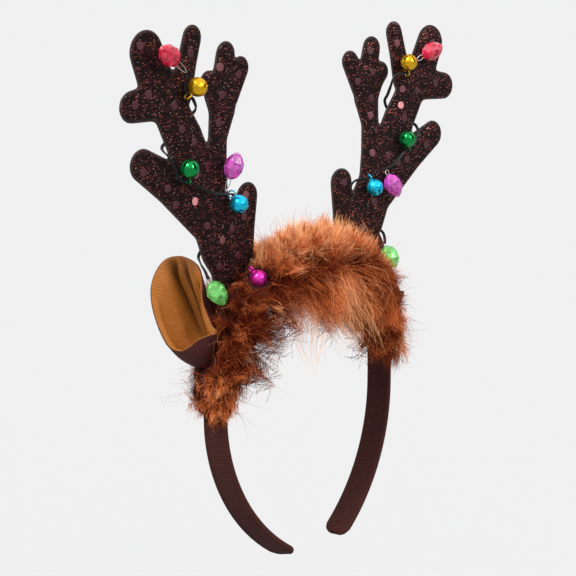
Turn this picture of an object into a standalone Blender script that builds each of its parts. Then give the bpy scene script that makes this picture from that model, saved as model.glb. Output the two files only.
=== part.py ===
"""A reindeer antler headband, standing as it is worn.

The origin is where it sits: the middle of the crown's inner face. +Z is up, the wearer looks
towards -Y, and +X is the side of the pieces named right. Lengths here are in millimetres, and
angles in degrees. Each antler has its own flat frame: across runs outwards from the antler's
root, up is up, and depth is towards +Y, so the front face has a negative depth.
"""

import math
import random

import bmesh
import bpy
import numpy as np
from mathutils import Matrix, Vector
from mathutils.bvhtree import BVHTree
from mathutils.geometry import delaunay_2d_cdt

MM = 0.001
GAP = 0.3
SIDES = {"left": -1, "right": 1}

# Band: a sprung strip wrapped in ribbon
BAND_WIDTH = 16.3
BAND_THICKNESS = 3.0
BAND_EDGE = 0.9
# Round each end: how far along the band, and how much narrower on either side
BAND_TONGUE = ((-3.0, 5.0), (-2.5, 3.3), (-1.5, 1.8), (0.0, 0.8), (2.0, 0.0))
BAND_SPAN = 122.0
BAND_RISE = 72.0
BAND_SHOULDER = 2.4
ARM_DROP = 77.8
END_GAP = 41.0
END_SWEEP = 6.4
ARM_TWIST = {"left": 17.0, "right": 3.0}
BAND_STATIONS = 49
WIDEST_LEVEL = BAND_THICKNESS / 2 - BAND_RISE

# Antlers: padded flat shapes with a pinched rim
RIM_HALF = 0.5
RIM_WIDTH = 1.8
PAD_HALF = 2.6
PAD_ROUNDING = 3.2
OUTLINE_STEP = 4.2
FILL_STEP = 8.5
TRACE_STEP = 1.5
ANTLER_PLACES = {
    "left": {"at": (-46.1, 3.0, 4.7), "yaw": 3.6, "pitch": -2.7, "lean": 0.8},
    "right": {"at": (42.2, 3.0, 4.7), "yaw": -4.4, "pitch": 2.4, "lean": 0.0},
}
# Each branch is a row of sections: across, up, half width
BRANCHES = {
    "trunk": (
        (1.0, -14.0, 9.2),
        (0.6, -4.0, 12.8),
        (1.5, 7.0, 15.0),
        (8.0, 15.0, 15.0),
        (17.5, 33.0, 13.5),
        (27.0, 46.0, 14.5),
        (35.0, 66.0, 11.6),
        (44.0, 80.0, 10.4),
        (45.5, 88.0, 11.0),
    ),
    "low inner tine": ((-4.0, 4.0, 10.8), (-7.3, 22.0, 7.6), (-8.3, 35.8, 7.6)),
    "low outer tine": ((20.0, 30.0, 12.5), (44.0, 47.0, 9.8), (61.0, 56.8, 7.7)),
    "inner beam": (
        (12.5, 33.0, 8.0),
        (14.5, 50.0, 8.0),
        (13.5, 66.0, 6.4),
        (11.0, 80.0, 9.0),
        (12.5, 88.0, 11.0),
    ),
    "small finger": ((7.5, 86.0, 7.5), (-0.3, 98.8, 5.9)),
    "middle finger": ((12.0, 91.0, 7.0), (12.4, 105.4, 6.4)),
    "stub": ((15.0, 88.0, 8.5), (21.3, 92.8, 5.6)),
    "top inner finger": ((38.5, 88.0, 7.5), (34.8, 103.0, 6.2), (32.2, 113.4, 6.0)),
    "top outer finger": ((50.0, 86.0, 11.0), (60.0, 107.2, 9.9)),
    "knob": ((54.0, 85.0, 8.8), (69.0, 83.3, 7.4)),
}
# How far the tip of a branch leans outwards on one side or the other
TIP_LEAN = {
    "left": {"middle finger": -2.4, "knob": -1.0, "stub": -0.6},
    "right": {"middle finger": 3.0, "knob": 1.8, "stub": 0.8},
}

# Cord, bells and beads, in the antlers' own frames: across, depth, up
CORD_RADIUS = 0.75
CORD_POINTS = 60
FACE = PAD_HALF + GAP + CORD_RADIUS + 0.15
HOOK = -4.9
BELL_RADIUS = 4.5
BELL_SIDES = 10
LOOP_RADIUS = 1.8
LOOP_WIRE = 0.38
LOOP_REACH = BELL_RADIUS + 1.45
SLOT_WIDTH = 0.9
SLOT_DEPTH = 2.2
BALL_DEPTH = -(PAD_HALF + BELL_RADIUS + 0.4)
BELLS = {
    "bell_gold_left": {"ball": (34.8, BALL_DEPTH, 91.7), "to": (38.6, HOOK, 87.4)},
    "bell_green_left": {"ball": (38.5, BALL_DEPTH, 54.4), "to": (37.4, HOOK, 47.2)},
    "bell_blue_left": {"ball": (4.8, BALL_DEPTH, 34.6), "to": (7.2, HOOK, 39.2)},
    "bell_magenta_left": {"ball": (-6.2, -12.0, -3.0), "to": (-3.4, -9.0, 2.0)},
    "bell_gold_right": {"ball": (36.0, BALL_DEPTH, 97.1), "to": (36.8, HOOK, 90.9)},
    "bell_green_right": {"ball": (34.2, BALL_DEPTH, 56.1), "to": (36.6, HOOK, 49.7)},
    "bell_blue_right": {"ball": (9.3, BALL_DEPTH, 31.9), "to": (7.4, HOOK, 38.2)},
}
BEAD_SIDES = 8
STEM_WIRE = 0.35
STEM_HALF = 1.25
# Turned profile of a bead from its stem end: distance along, radius
BEAD_PROFILE = ((0.0, 1.2), (1.6, 3.3), (4.9, 4.75), (8.6, 4.3), (11.3, 2.6), (12.8, 1.1))
BEAD_LENGTH = BEAD_PROFILE[-1][0]
# A bead's middle, the point that its wire stem runs to, and the stem's length
BEADS = {
    "bead_red_left": {"middle": (53.6, -8.0, 106.3), "to": (39.3, -5.3, 97.8), "stem": 9.6},
    "bead_purple_left": {"middle": (9.3, -7.4, 53.4), "to": (12.0, -5.0, 41.1), "stem": 6.7},
    "bead_lime_left": {"middle": (19.0, -8.6, -7.3), "to": (22.3, -5.8, -0.6), "stem": 1.2},
    "bead_red_right": {"middle": (53.7, -7.9, 102.8), "to": (43.2, -5.0, 97.8), "stem": 4.6},
    "bead_purple_right": {"middle": (22.8, -7.8, 31.8), "to": (19.0, -5.3, 41.6), "stem": 2.9},
    "bead_lime_right": {"middle": (18.0, -9.6, -6.7), "to": (18.2, -5.2, 0.0), "stem": 1.2},
}
# The cord's route on each antler; a name stands for the middle of that bell's loop
CORD_ROUTES = {
    "left": (
        (39.8, -5.25, 97.2), (40.3, -4.4, 92.0), "bell_gold_left", (34.5, -FACE, 86.2),
        (31.2, -2.7, 82.6), (29.1, -0.4, 80.3), (29.2, 2.2, 77.6), (33.0, FACE, 72.6),
        (42.0, FACE + 0.1, 66.6), (46.6, 2.6, 64.0), (48.4, 0.2, 62.5), (47.4, -2.9, 59.8),
        (45.0, -4.3, 54.6), (41.6, -4.7, 49.2),
        "bell_green_left", (31.0, -4.4, 45.4), (20.0, -4.0, 41.2), (13.0, -4.3, 39.8),
        "bell_blue_left", (1.4, 0.2, 36.4), (2.2, FACE, 29.0), (9.5, FACE, 18.0),
        (19.2, 4.1, 10.0), (22.0, 0.4, 6.4), (22.4, -3.2, 3.2), (22.35, -5.75, -0.45),
    ),
    "right": (
        (43.5, -5.05, 97.6), (41.2, -4.5, 93.8), "bell_gold_right", (31.5, -4.3, 91.4),
        (28.2, -3.6, 89.4), (26.7, -2.8, 85.0), (26.2, -0.8, 80.4), (26.6, 1.9, 76.8),
        (31.5, FACE, 71.5), (42.0, FACE + 0.1, 66.6), (46.6, 2.6, 64.0), (48.4, 0.2, 62.5),
        (46.9, -3.2, 58.6), (42.4, -4.6, 52.8), "bell_green_right",
        (27.5, -4.1, 43.3), (20.0, -4.0, 41.0), (12.6, -4.2, 40.2), "bell_blue_right",
        (1.4, 0.2, 35.4), (2.2, FACE, 28.4), (9.5, FACE, 17.6), (19.5, 4.1, 9.4),
        (21.6, -0.2, 5.6), (20.0, -3.4, 2.4), (18.3, -5.0, 0.3),
    ),
}

# Ears: cupped satin with a lining, each in a frame of its own
EAR_WALL = 1.2
EAR_LINING = 1.1
EAR_GAP = 0.45
LINING_INSET = 1.3
EAR_ROOT = (60.9, 1.4, WIDEST_LEVEL + 32.0)
EAR_ALONG = (0.27, 0.33, 0.905)
EAR_TOWARD = (0.69, -0.70, 0.05)
EAR_ROUND_STEPS = 18
EAR_RINGS = (0.0, 0.22, 0.5, 0.78, 1.0)
EAR_FOOT = {"middle": (-2.4, 2.4), "half": (5.0, 4.0)}
EAR_FOOT_DEPTH = 1.5
EAR_BULGE = 0.10
# The rim, from the front fold round by the back: turn, along, across, towards the front
EAR_RIM = (
    (90, 10.5, 5.5, 13.0),
    (50, 14.5, 9.0, 11.0),
    (20, 25.0, 10.5, 8.0),
    (-5, 37.3, 12.5, 5.0),
    (-35, 47.8, 13.5, 2.0),
    (-62, 55.0, 8.0, -0.5),
    (-90, 56.5, 1.0, -2.0),
    (-115, 52.5, -6.5, -1.5),
    (-140, 45.0, -12.7, 0.5),
    (-165, 34.0, -16.2, 3.5),
    (-195, 22.0, -17.2, 6.5),
    (-215, 14.0, -15.5, 10.0),
    (-235, 11.5, -9.5, 13.5),
    (-252, 11.0, -2.0, 14.5),
)

# Fur: a channel over the band whose outer skin is drawn out into tufts
FUR_STATIONS = 43
FUR_FROM = 0.241
FUR_TO = 0.733
FUR_TURN = 124.0
FUR_ROWS = 15
FUR_CORE = {"away": 3.6, "rise": 8.4, "half_width": 13.4}
FUR_END_SIZE = 0.45
FUR_END_RUN = 9.0
# The channel's inside, round the band with a gap: away from its middle, across it
FUR_INSIDE = ((-1.1, 8.6), (1.9, 8.6), (1.9, -8.6), (-1.1, -8.6))
# How far tufts reach along the band, from its left end to its right, at five turns round it
TUFT_TURNS = (-124, -80, 0, 80, 124)
TUFT_REACH = (
    # along, inner back, back, outwards, front, inner front
    (0.0, 4.0, 4.0, 3.0, 6.0, 4.0),
    (0.07, 5.0, 4.5, 4.0, 8.0, 8.0),
    (0.16, 8.0, 7.0, 5.5, 14.0, 17.0),
    (0.32, 11.0, 10.0, 10.0, 15.0, 20.0),
    (0.5, 14.0, 9.0, 9.0, 15.0, 24.0),
    (0.68, 16.0, 12.0, 12.0, 13.0, 27.0),
    (0.84, 16.0, 8.0, 6.5, 7.0, 27.0),
    (1.0, 12.0, 5.0, 3.5, 4.0, 22.0),
)
TUFT_DROOP = 0.5
TUFT_INWARD = 36.0
TUFT_WIDTH = 4.2
TUFT_CLEAR = 1.0
TUFT_SPREAD = 0.28
HEAD_HALF_DEPTH = 9.8
HEAD_ROOM_DEPTH = 9.0

COLOURS = {
    "ribbon": ((0.055, 0.022, 0.016), 0.85, 0.0),
    "glitter": ((0.040, 0.022, 0.020), 0.55, 0.0),
    "satin": ((0.075, 0.022, 0.022), 0.45, 0.0),
    "lining": ((0.420, 0.170, 0.040), 0.50, 0.0),
    "fur": ((0.330, 0.085, 0.025), 0.90, 0.0),
    "cord": ((0.012, 0.012, 0.013), 0.40, 0.0),
    "gold": ((0.830, 0.520, 0.020), 0.18, 1.0),
    "green": ((0.010, 0.330, 0.080), 0.18, 1.0),
    "blue": ((0.010, 0.420, 0.650), 0.18, 1.0),
    "magenta": ((0.720, 0.010, 0.310), 0.18, 1.0),
    "red": ((0.850, 0.020, 0.080), 0.08, 0.0),
    "purple": ((0.600, 0.050, 0.480), 0.08, 0.0),
    "lime": ((0.250, 0.750, 0.150), 0.08, 0.0),
}


def clear_scene():
    for obj in list(bpy.data.objects):
        bpy.data.objects.remove(obj)


def material(name):
    made = bpy.data.materials.get(name)
    if made:
        return made
    colour, roughness, metallic = COLOURS[name]
    made = bpy.data.materials.new(name)
    made.use_nodes = True
    shader = made.node_tree.nodes["Principled BSDF"]
    shader.inputs["Base Color"].default_value = (*colour, 1.0)
    shader.inputs["Roughness"].default_value = roughness
    shader.inputs["Metallic"].default_value = metallic
    return made


def mesh_from(name, points, faces, colour, sharp=40.0):
    """A mesh from points in millimetres, with its faces turned outwards."""
    mesh = bpy.data.meshes.new(name)
    mesh.from_pydata([Vector(p) * MM for p in points], [], faces)
    shaped = bmesh.new()
    shaped.from_mesh(mesh)
    bmesh.ops.recalc_face_normals(shaped, faces=shaped.faces)
    shaped.to_mesh(mesh)
    shaped.free()
    mesh.shade_smooth()
    mesh.set_sharp_from_angle(angle=math.radians(sharp))
    mesh.materials.append(material(colour))
    return mesh


def place(name, data, parent=None, matrix=None):
    obj = bpy.data.objects.new(name, data)
    bpy.context.collection.objects.link(obj)
    obj.parent = parent
    if matrix is not None:
        obj.matrix_local = matrix
    return obj


def hide_helper(obj):
    obj.hide_render = True
    obj.hide_viewport = True
    obj.display_type = "WIRE"


def boolean(obj, other, operation, own_overlaps=False):
    modifier = obj.modifiers.new(operation.title(), "BOOLEAN")
    modifier.operation = operation
    modifier.solver = "EXACT"
    modifier.use_self = own_overlaps
    modifier.object = other
    return modifier


def smooth_route(points, count, closed=False):
    """Evenly spaced points on a centripetal curve through the given points."""
    points = [np.array(p, float) for p in points]
    if closed:
        knots = [points[-1], *points, points[0], points[1]]
    else:
        knots = [2 * points[0] - points[1], *points, 2 * points[-1] - points[-2]]
    dense = []
    for before, start, end, after in zip(knots, knots[1:], knots[2:], knots[3:]):
        for t in np.linspace(0, 1, 24, endpoint=False):
            dense.append(
                0.5
                * (
                    2 * start
                    + (end - before) * t
                    + (2 * before - 5 * start + 4 * end - after) * t**2
                    + (3 * start - before - 3 * end + after) * t**3
                )
            )
    dense.append(points[0] if closed else points[-1])
    return resampled(np.array(dense), count, closed)


def resampled(points, count, closed=False):
    steps = np.linalg.norm(np.diff(points, axis=0), axis=1)
    run = np.concatenate([[0.0], np.cumsum(steps)])
    wanted = np.linspace(0, run[-1], count + 1 if closed else count)
    found = np.stack([np.interp(wanted, run, points[:, i]) for i in range(points.shape[1])], axis=1)
    return found[:-1] if closed else found


# Band


def band_half(count):
    """Half of the band's middle line, from the crown down to one end, on the +X side."""
    turns = np.linspace(0, math.pi / 2, count)
    power = 2 / BAND_SHOULDER
    arch_x = BAND_SPAN / 2 * np.sin(turns) ** power
    arch_z = WIDEST_LEVEL + BAND_RISE * np.cos(turns) ** power
    inset = (BAND_SPAN - END_GAP) / 2
    radius = (inset**2 + ARM_DROP**2) / (2 * inset)
    bends = np.linspace(0, math.asin(ARM_DROP / radius), count)[1:]
    arm_x = BAND_SPAN / 2 - radius * (1 - np.cos(bends))
    arm_z = WIDEST_LEVEL - radius * np.sin(bends)
    arm_y = -END_SWEEP * (bends / bends[-1]) ** 1.4
    xs = np.concatenate([arch_x, arm_x])
    ys = np.concatenate([np.zeros(count), arm_y])
    zs = np.concatenate([arch_z, arm_z])
    return np.stack([xs, ys, zs], axis=1)


def band_line(count):
    """The band's middle line from the left end over the crown to the right end."""
    right = band_half(400)
    left = right[::-1] * (-1, 1, 1)
    return resampled(np.concatenate([left[:-1], right]), count)


def band_frame(line, index):
    """The way along the band and the way out of it at one point of its line."""
    ahead = line[min(index + 1, len(line) - 1)] - line[max(index - 1, 0)]
    ahead = ahead / np.linalg.norm(ahead)
    out = np.cross(ahead, (0.0, 1.0, 0.0))
    out = -out / np.linalg.norm(out)
    if np.dot(out, line[index] - (0.0, 0.0, WIDEST_LEVEL)) < 0:
        out = -out
    across = np.cross(ahead, out)
    across = across / np.linalg.norm(across)
    across = across * (1 if across[1] > 0 else -1)
    side = "left" if line[index][0] < 0 else "right"
    drop = max(0.0, WIDEST_LEVEL - line[index][2]) / ARM_DROP
    twist = math.radians(ARM_TWIST[side] * min(drop, 1.0))
    turned_out = out * math.cos(twist) - across * math.sin(twist)
    return ahead, turned_out, across * math.cos(twist) + out * math.sin(twist)


def tube_faces(stations, size):
    """The faces of a closed skin whose points run station by station."""
    faces = []
    for station in range(stations - 1):
        for corner in range(size):
            beside = (corner + 1) % size
            low = station * size
            faces.append((low + corner, low + beside, low + size + beside, low + size + corner))
    last = (stations - 1) * size
    faces.append(tuple(range(size)))
    faces.append(tuple(range(last + size - 1, last - 1, -1)))
    return faces


def swept(line, frames, section):
    """A closed skin swept along a line: section holds away-and-across pairs for each point."""
    points = []
    for at, (_, out, across), ring in zip(line, frames, section):
        points += [at + out * away + across * over for away, over in ring]
    return points, tube_faces(len(line), len(section[0]))


def band_section(narrowing):
    half = BAND_THICKNESS / 2
    wide = BAND_WIDTH / 2 - narrowing
    edge = BAND_EDGE
    corners = (
        (half, wide - edge),
        (half - edge, wide),
        (edge - half, wide),
        (-half, wide - edge),
    )
    return [*corners, *((away, -over) for away, over in reversed(corners))]


def make_band():
    line = band_line(BAND_STATIONS)
    frames = [band_frame(line, i) for i in range(BAND_STATIONS)]
    # The wrapped ends are rounded like a tongue by extra stations close to each tip
    tips = BAND_TONGUE
    run_in = [(line[0] + frames[0][0] * run, frames[0], cut) for run, cut in tips]
    run_out = [(line[-1] - frames[-1][0] * run, frames[-1], cut) for run, cut in reversed(tips)]
    middle = [(line[i], frames[i], 0.0) for i in range(1, BAND_STATIONS - 1)]
    stations = run_in + middle + run_out
    sections = [band_section(cut) for _, _, cut in stations]
    points, faces = swept([s[0] for s in stations], [s[1] for s in stations], sections)
    return place("band", mesh_from("band", points, faces, "ribbon"))


def above_band(points):
    """How far points in the XZ plane are outside the band's middle line."""
    line = band_line(700)[:, [0, 2]]
    flat = points.reshape(-1, 2)
    near = np.sqrt(((flat[:, None, :] - line[None, :, :]) ** 2).sum(2)).min(1)
    level = flat[:, 1] - WIDEST_LEVEL
    reach = (np.abs(flat[:, 0]) / (BAND_SPAN / 2)) ** BAND_SHOULDER
    reach += (np.clip(level, 0, None) / BAND_RISE) ** BAND_SHOULDER
    outside = (reach > 1) & (level > 0)
    return np.where(outside, near, -near).reshape(points.shape[:-1])


# Antlers


def antler_matrix(side):
    spot = ANTLER_PLACES[side]
    turn = Matrix.Rotation(math.radians(spot["yaw"]), 4, "Z")
    tip = Matrix.Rotation(math.radians(-spot["pitch"]), 4, "X")
    lean = Matrix.Rotation(math.radians(-SIDES[side] * spot["lean"]), 4, "Y")
    return Matrix.Translation(Vector(spot["at"]) * MM) @ turn @ tip @ lean


def tapered_distance(points, start, end):
    """Distance of points to a strip that runs between two round sections."""
    begin = np.array(start[:2])
    step = np.array(end[:2]) - begin
    part = np.clip(((points - begin) @ step) / (step @ step), 0, 1)
    nearest = begin + part[..., None] * step
    width = start[2] + (end[2] - start[2]) * part
    return np.linalg.norm(points - nearest, axis=-1) - width


def antler_distance(points, side):
    """Distance of points to the antler's outline, negative inside it."""
    found = []
    for branch, rows in BRANCHES.items():
        lean = TIP_LEAN[side].get(branch, 0.0)
        rows = (*rows[:-1], (rows[-1][0] + lean, *rows[-1][1:]))
        found += [tapered_distance(points, a, b) for a, b in zip(rows, rows[1:])]
    shape = np.min(found, axis=0)
    spot = ANTLER_PLACES[side]["at"]
    world = np.stack([spot[0] + SIDES[side] * points[..., 0], spot[2] + points[..., 1]], -1)
    seat = BAND_THICKNESS / 2 + GAP + 0.1
    return np.maximum(shape, seat - above_band(world))


def traced(distance, level, low, high):
    """The closed line on which a distance has a level, found on a grid and put in order."""
    us = np.arange(low[0], high[0], TRACE_STEP)
    vs = np.arange(low[1], high[1], TRACE_STEP)
    grid = np.stack(np.meshgrid(us, vs, indexing="ij"), -1)
    values = distance(grid) - level
    links = {}
    spots = {}

    def crossing(one, two):
        key = (min(one, two), max(one, two))
        first, second = values[key[0]], values[key[1]]
        part = first / (first - second)
        spots[key] = grid[key[0]] * (1 - part) + grid[key[1]] * part
        return key

    for i in range(len(us) - 1):
        for j in range(len(vs) - 1):
            corners = ((i, j), (i + 1, j), (i + 1, j + 1), (i, j + 1))
            cut = [
                crossing(a, b)
                for a, b in zip(corners, corners[1:] + corners[:1])
                if (values[a] < 0) != (values[b] < 0)
            ]
            for one, two in zip(cut[::2], cut[1::2]):
                links.setdefault(one, []).append(two)
                links.setdefault(two, []).append(one)
    loops = []
    left = set(links)
    while left:
        start = max(left)
        loop = [start]
        left.discard(start)
        while True:
            onward = [key for key in links[loop[-1]] if key in left]
            if not onward:
                break
            loop.append(onward[0])
            left.discard(onward[0])
        loops.append(np.array([spots[key] for key in loop]))
    return max(loops, key=len)


def even_loop(points, step):
    closed = np.concatenate([points, points[:1]])
    length = np.linalg.norm(np.diff(closed, axis=0), axis=1).sum()
    return resampled(closed, int(length / step), closed=True)


def pad_half(depth_in):
    """Half of the pad's thickness at a distance in from the outline."""
    raised = np.clip(depth_in - RIM_WIDTH, 0, None)
    return RIM_HALF + (PAD_HALF - RIM_HALF) * (1 - np.exp(-raised / PAD_ROUNDING))


def fill_points(distance, low, high):
    rows = np.arange(low[1], high[1], FILL_STEP * 0.87)
    found = []
    for number, row in enumerate(rows):
        shift = FILL_STEP / 2 * (number % 2)
        found += [(u, row) for u in np.arange(low[0] + shift, high[0], FILL_STEP)]
    found = np.array(found)
    return found[distance(found) < -(RIM_WIDTH + FILL_STEP * 0.38)]


def make_antler(side):
    low, high = (-24.0, -52.0), (86.0, 126.0)

    def distance(points):
        return antler_distance(points, side)

    edge = even_loop(traced(distance, 0.0, low, high), OUTLINE_STEP)
    shoulder = even_loop(traced(distance, -RIM_WIDTH, low, high), OUTLINE_STEP)
    flat = np.concatenate([edge, shoulder, fill_points(distance, low, high)])
    count = len(edge)
    ring = [(i, (i + 1) % count) for i in range(count)]
    spots, _, cells, *_ = delaunay_2d_cdt([Vector(p) for p in flat], ring, [], 1, 1e-6)
    spots = np.array([tuple(p) for p in spots])
    middles = np.array([spots[list(cell)].mean(0) for cell in cells])
    cells = [cell for cell, inside in zip(cells, distance(middles) < 0.6) if inside]
    half = pad_half(np.clip(-distance(spots), 0, None))
    half[:count] = RIM_HALF
    across = SIDES[side] * spots[:, 0]
    front = [(x, -h, z) for x, h, z in zip(across, half, spots[:, 1])]
    back = [(x, h, z) for x, h, z in zip(across, half, spots[:, 1])]
    shift = len(spots)
    faces = [tuple(cell) for cell in cells]
    faces += [tuple(i + shift for i in reversed(cell)) for cell in cells]
    faces += [(a, b, b + shift, a + shift) for a, b in ring]
    name = f"antler_{side}"
    return place(name, mesh_from(name, front + back, faces, "glitter"), None, antler_matrix(side))


def in_antler(side, spot):
    """A place in an antler's frame: its across runs towards -X on the left antler."""
    across, depth, up = spot
    return Vector((SIDES[side] * across, depth, up))


# Bells, beads and cord


def turned(profile, sides, start=0):
    """Points and faces of a closed shape turned about Z, from (height, radius) rows."""
    points = []
    faces = []
    for height, radius in profile:
        for k in range(sides):
            turn = 2 * math.pi * (k + 0.5) / sides
            points.append((radius * math.cos(turn), radius * math.sin(turn), height))
    for row in range(len(profile) - 1):
        for k in range(sides):
            beside = (k + 1) % sides
            low = start + row * sides
            faces.append((low + k, low + beside, low + sides + beside, low + sides + k))
    faces.append(tuple(start + k for k in reversed(range(sides))))
    faces.append(tuple(start + (len(profile) - 1) * sides + k for k in range(sides)))
    return points, faces


def wire_ring(path, wire, sides, start=0):
    """A closed ring of wire in the XZ plane that follows the path's (x, z) points."""
    points = []
    faces = []
    count = len(path)
    for i, (x, z) in enumerate(path):
        before = path[i - 1]
        after = path[(i + 1) % count]
        along = Vector((after[0] - before[0], after[1] - before[1])).normalized()
        for k in range(sides):
            turn = 2 * math.pi * k / sides
            aside = wire * math.cos(turn)
            points.append((x + along[1] * aside, wire * math.sin(turn), z - along[0] * aside))
    for i in range(count):
        for k in range(sides):
            low, high = start + i * sides, start + (i + 1) % count * sides
            beside = (k + 1) % sides
            faces.append((low + k, low + beside, high + beside, high + k))
    return points, faces


def fused(name, colour, first, others, cutters=()):
    """One mesh from overlapping closed shapes, less the cutters."""
    base = place(name, mesh_from(name, *first, colour))
    helpers = []
    for number, (points, faces) in enumerate([*others, *cutters]):
        helper = place(f"{name}_{number}", mesh_from(f"{name}_{number}", points, faces, colour))
        helpers.append(helper)
        boolean(base, helper, "UNION" if number < len(others) else "DIFFERENCE")
    graph = bpy.context.evaluated_depsgraph_get()
    mesh = bpy.data.meshes.new_from_object(base.evaluated_get(graph))
    mesh.name = name
    for obj in [*helpers, base]:
        bpy.data.objects.remove(obj)
    mesh.shade_smooth()
    mesh.set_sharp_from_angle(angle=math.radians(40.0))
    mesh.materials.clear()
    mesh.materials.append(material(colour))
    return mesh


def box_shape(low, high):
    xs, ys, zs = zip(low, high)
    points = [(x, y, z) for x in xs for y in ys for z in zs]
    faces = [(0, 1, 3, 2), (4, 6, 7, 5), (0, 4, 5, 1), (2, 3, 7, 6), (0, 2, 6, 4), (1, 5, 7, 3)]
    return points, faces


def bell_mesh(colour):
    """A jingle bell with its ball at the origin, its loop up +Z and its slot below."""
    rows = []
    for turn in (-84, -58, -30, -4, 4, 30, 58, 84):
        swell = 1.03 if abs(turn) == 4 else 1.0
        turn = math.radians(turn)
        rows.append((BELL_RADIUS * math.sin(turn), BELL_RADIUS * swell * math.cos(turn)))
    ball = turned(rows, BELL_SIDES)
    ring = []
    for k in range(8):
        turn = 2 * math.pi * (k + 0.5) / 8
        ring.append((LOOP_RADIUS * math.cos(turn), LOOP_REACH + LOOP_RADIUS * math.sin(turn)))
    loop = wire_ring(ring, LOOP_WIRE, 5)
    reach = BELL_RADIUS * 0.8
    half = SLOT_WIDTH / 2
    slot = box_shape((-reach, -half, -BELL_RADIUS - 1), (reach, half, SLOT_DEPTH - BELL_RADIUS))
    return fused(f"bell_{colour}", colour, ball, [loop], [slot])


def bead_mesh(name, colour, stem):
    """A cut bead with its stem loop up +Z and its middle at the origin."""
    rows = [(BEAD_LENGTH / 2 - along, radius) for along, radius in reversed(BEAD_PROFILE)]
    body = turned(rows, BEAD_SIDES)
    low = BEAD_LENGTH / 2 - 1.6
    high = BEAD_LENGTH / 2 + stem - STEM_WIRE - STEM_HALF
    if high <= low:
        high = low + 0.1
    ring = []
    for k in range(5):
        turn = math.pi * k / 4
        ring.append((STEM_HALF * math.cos(turn), high + STEM_HALF * math.sin(turn)))
    for k in range(5):
        turn = math.pi + math.pi * k / 4
        ring.append((STEM_HALF * math.cos(turn), low + STEM_HALF * math.sin(turn)))
    return fused(name, colour, body, [wire_ring(ring, STEM_WIRE, 5)])


def aimed(middle, target, beside):
    """A placement at middle with +Z towards target and +Y as near as can be to beside."""
    up = (target - middle).normalized()
    side = (beside - up * beside.dot(up)).normalized()
    third = side.cross(up)
    turn = Matrix((third, side, up)).transposed().to_4x4()
    return Matrix.Translation(middle * MM) @ turn


def loop_middle(name):
    side = name.rsplit("_", 1)[1]
    row = BELLS[name]
    ball = in_antler(side, row["ball"])
    return ball + (in_antler(side, row["to"]) - ball).normalized() * LOOP_REACH


def cord_route(side):
    """The cord's points in the antler's frame, threaded through the bells' loops."""
    chosen = CORD_ROUTES[side]
    return [loop_middle(p) if isinstance(p, str) else in_antler(side, p) for p in chosen]


def make_cord(side, antler):
    route = smooth_route([tuple(p) for p in cord_route(side)], CORD_POINTS)
    name = f"cord_{side}"
    curve = bpy.data.curves.new(name, "CURVE")
    curve.dimensions = "3D"
    spline = curve.splines.new("POLY")
    spline.points.add(CORD_POINTS - 1)
    for point, at in zip(spline.points, route):
        point.co = (*(Vector(at) * MM), 1.0)
    curve.bevel_depth = CORD_RADIUS * MM
    curve.bevel_resolution = 2
    curve.use_fill_caps = True
    curve.materials.append(material("cord"))
    place(name, curve, antler)
    return route


def make_trims(antlers, routes):
    meshes = {}
    for name, row in BELLS.items():
        _, colour, side = name.split("_")
        if colour not in meshes:
            meshes[colour] = bell_mesh(colour)
        loop = loop_middle(name)
        route = routes[side]
        near = int(np.argmin(np.linalg.norm(route - np.array(loop), axis=1)))
        tangent = Vector(route[min(near + 1, len(route) - 1)] - route[max(near - 1, 0)])
        place(name, meshes[colour], antlers[side], aimed(in_antler(side, row["ball"]), loop, tangent))
    for name, row in BEADS.items():
        _, colour, side = name.split("_")
        middle = in_antler(side, row["middle"])
        target = in_antler(side, row["to"])
        mesh = bead_mesh(name, colour, row["stem"])
        place(name, mesh, antlers[side], aimed(middle, target, Vector((0.0, 1.0, 0.0))))


# Ears


def ear_frame(side):
    mirror = Vector((SIDES[side], 1, 1))
    along = (Vector(EAR_ALONG) * mirror).normalized()
    toward = Vector(EAR_TOWARD) * mirror
    toward = (toward - along * toward.dot(along)).normalized()
    across = (Vector(EAR_ALONG).cross(Vector(EAR_TOWARD)) * Vector((-1, -1, -1))).normalized()
    across = Vector((-abs(across[0]) * SIDES[side], -abs(across[1]), abs(across[2])))
    across = (across - along * across.dot(along) - toward * across.dot(toward)).normalized()
    root = Vector(EAR_ROOT) * mirror
    return root, along, across, toward


def ear_surface():
    """The ear's outside as rings from the foot to the rim, in its own frame."""
    rows = [(math.radians(turn), along, across, toward) for turn, along, across, toward in EAR_RIM]
    rim = smooth_route([row[1:] for row in rows], EAR_ROUND_STEPS, closed=True)
    turns = np.unwrap([math.atan2(p[2] - 5.0, p[1] / 1.2) for p in rim])
    rings = []
    for part in EAR_RINGS:
        ring = []
        for (along, across, toward), turn in zip(rim, turns):
            middle, half = EAR_FOOT["middle"], EAR_FOOT["half"]
            foot = (0.0, middle[0] + half[0] * math.cos(turn), middle[1] + half[1] * math.sin(turn))
            foot = np.array(foot)
            end = np.array([along, across, toward])
            swell = EAR_BULGE * np.linalg.norm(end - foot) * math.sin(math.pi * part**0.8)
            out = np.array([0.0, math.cos(turn), math.sin(turn)])
            ring.append(foot + (end - foot) * part + out * swell)
        rings.append(ring)
    return np.array(rings)


def ring_normals(rings):
    across = np.roll(rings, -1, axis=1) - np.roll(rings, 1, axis=1)
    along = np.gradient(rings, axis=0)
    out = np.cross(across, along)
    out /= np.linalg.norm(out, axis=2, keepdims=True)
    middle = rings.mean(axis=1, keepdims=True)
    if ((rings - middle) * out).sum() < 0:
        out = -out
    return out


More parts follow.
